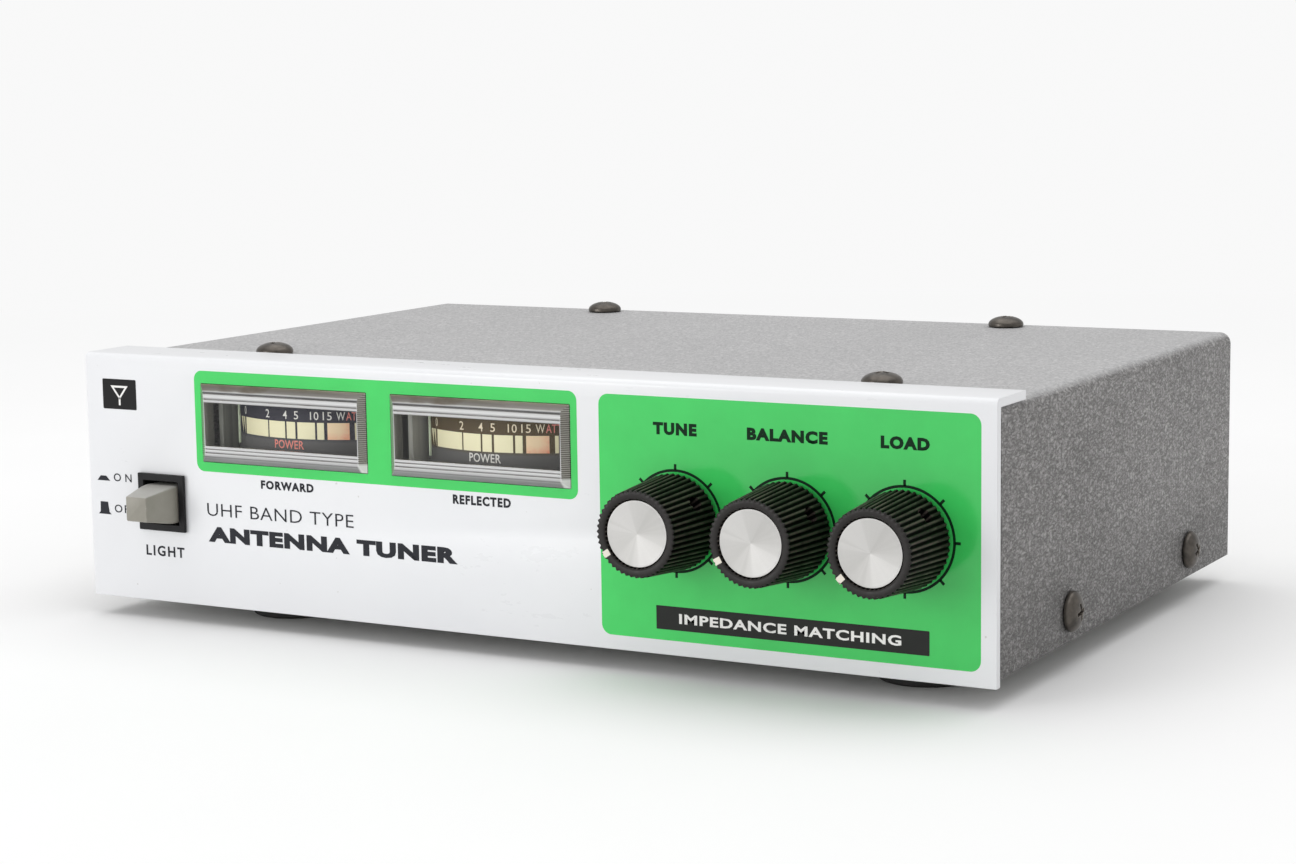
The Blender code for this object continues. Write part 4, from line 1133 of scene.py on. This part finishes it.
# The reflected meter's case takes the lighter copy, painted light.
for meter_name, card_look, number_look, word_look, case_look in (
        ("forward", NAVY_DIAL, PALE_INK, RED_INK, CASE),
        ("reflected", BROWN_DIAL, WARM_INK, PALE_INK, CASE_PAINTED_LIGHTER)):
    make_lens(meter_name)
    make_dial(meter_name, card_look, number_look, word_look)
    for part, part_look in (("case", case_look), ("lamp", LAMP), ("magnet", MAGNET), ("coil", COPPER),
                            ("needle", NEEDLE)):
        keep_node(f"{meter_name}_{part}", part_look, 0.05 * MM)
for control_name in CONTROLS:
    make_knob(control_name)
    for part, part_look in (("set_screw", ZINC), ("bushing_nut", NICKEL), ("capacitor_frame", NICKEL),
                            ("capacitor_stator", BRASS), ("capacitor_rotor", BRASS)):
        keep_node(f"{control_name}_{part}", part_look, 0.08 * MM)
make_button()
for socket_name in ("input", "output"):
    make_socket(socket_name)
    keep_node(f"{socket_name}_contact", BRASS, 0.05 * MM)
for part, part_look, rounding in (("chassis", ZINC, 0.1), ("switch_bezel", BLACK, 0.15),
                                  ("switch_body", SMOKE, 0.12), ("switch_spring", ZINC, 0.01),
                                  ("lamp_supply_jack", BLACK, 0.12), ("coupler_board", BOARD, 0.12)):
    keep_node(part, part_look, rounding * MM)


# ---- stage

def make_floor():
    """A pale floor that fades into an even pale background."""
    look = Look("studio_floor", Specular_IOR_Level=0.1, Roughness=0.8)
    tone = look.ramp(look.noise(80.0, 4.0), [(0.2, 0.855), (0.8, 0.87)])
    look.feed(look.shader.inputs["Base Color"], tone)
    glow = look.node("Emission", Color=(FAR_TONE,) * 3, Strength=1.0)
    distance = look.node("VectorMath", {"operation": "LENGTH"})
    look.feed(distance.inputs[0], look.place)
    look.blend_shaders(look.span(distance.outputs["Value"], 0.35, 0.9), look.shader.outputs[0],
                       glow.outputs[0])
    sheet = bmesh.new()
    bmesh.ops.create_grid(sheet, x_segments=8, y_segments=8, size=6.0)
    object_from("studio_floor", sheet, look.material)


def make_room():
    """Even light all round, seen by the camera as a plain pale tone."""
    world = bpy.data.worlds.new("studio")
    bpy.context.scene.world = world
    world.use_nodes = True
    nodes = world.node_tree.nodes
    links = world.node_tree.links
    background = nodes["Background"]
    background.inputs["Color"].default_value = (1.0, 1.0, 1.0, 1.0)
    strength = nodes.new("ShaderNodeMapRange")
    strength.inputs["To Min"].default_value = ROOM_LIGHT
    strength.inputs["To Max"].default_value = FAR_TONE
    links.new(nodes.new("ShaderNodeLightPath").outputs["Is Camera Ray"], strength.inputs["Value"])
    links.new(strength.outputs["Result"], background.inputs["Strength"])


def make_softbox(name, at, towards, size, power):
    light = bpy.data.lights.new(name, "AREA")
    light.size = size
    light.energy = power
    holder = linked(name, light)
    aim = (Vector(towards) - Vector(at)).to_track_quat("-Z", "Y")
    holder.matrix_world = Matrix.Translation(at) @ aim.to_matrix().to_4x4()
    holder.visible_camera = False


def make_camera():
    data = bpy.data.cameras.new("camera")
    data.lens = CAMERA_LENS
    data.sensor_width = 36.0
    data.sensor_fit = "HORIZONTAL"
    data.clip_start = 0.01
    data.clip_end = 50.0
    camera = linked("camera", data)
    camera.matrix_world = (Matrix.Translation(CAMERA_AT) @ rotation(CAMERA_AZIMUTH, "Z")
                           @ rotation(90 - CAMERA_ELEVATION, "X") @ rotation(CAMERA_ROLL, "Z"))
    bpy.context.scene.camera = camera


make_floor()
make_room()
make_softbox("top_softbox", (0.0, 0.1, 1.6), (0.0, 0.0, 0.0), 2.2, 17.0)
make_softbox("key_softbox", (-1.1, -1.9, 0.45), (0.0, -0.05, 0.03), 1.0, 15.0)
make_camera()
bpy.context.scene.view_settings.view_transform = "Standard"
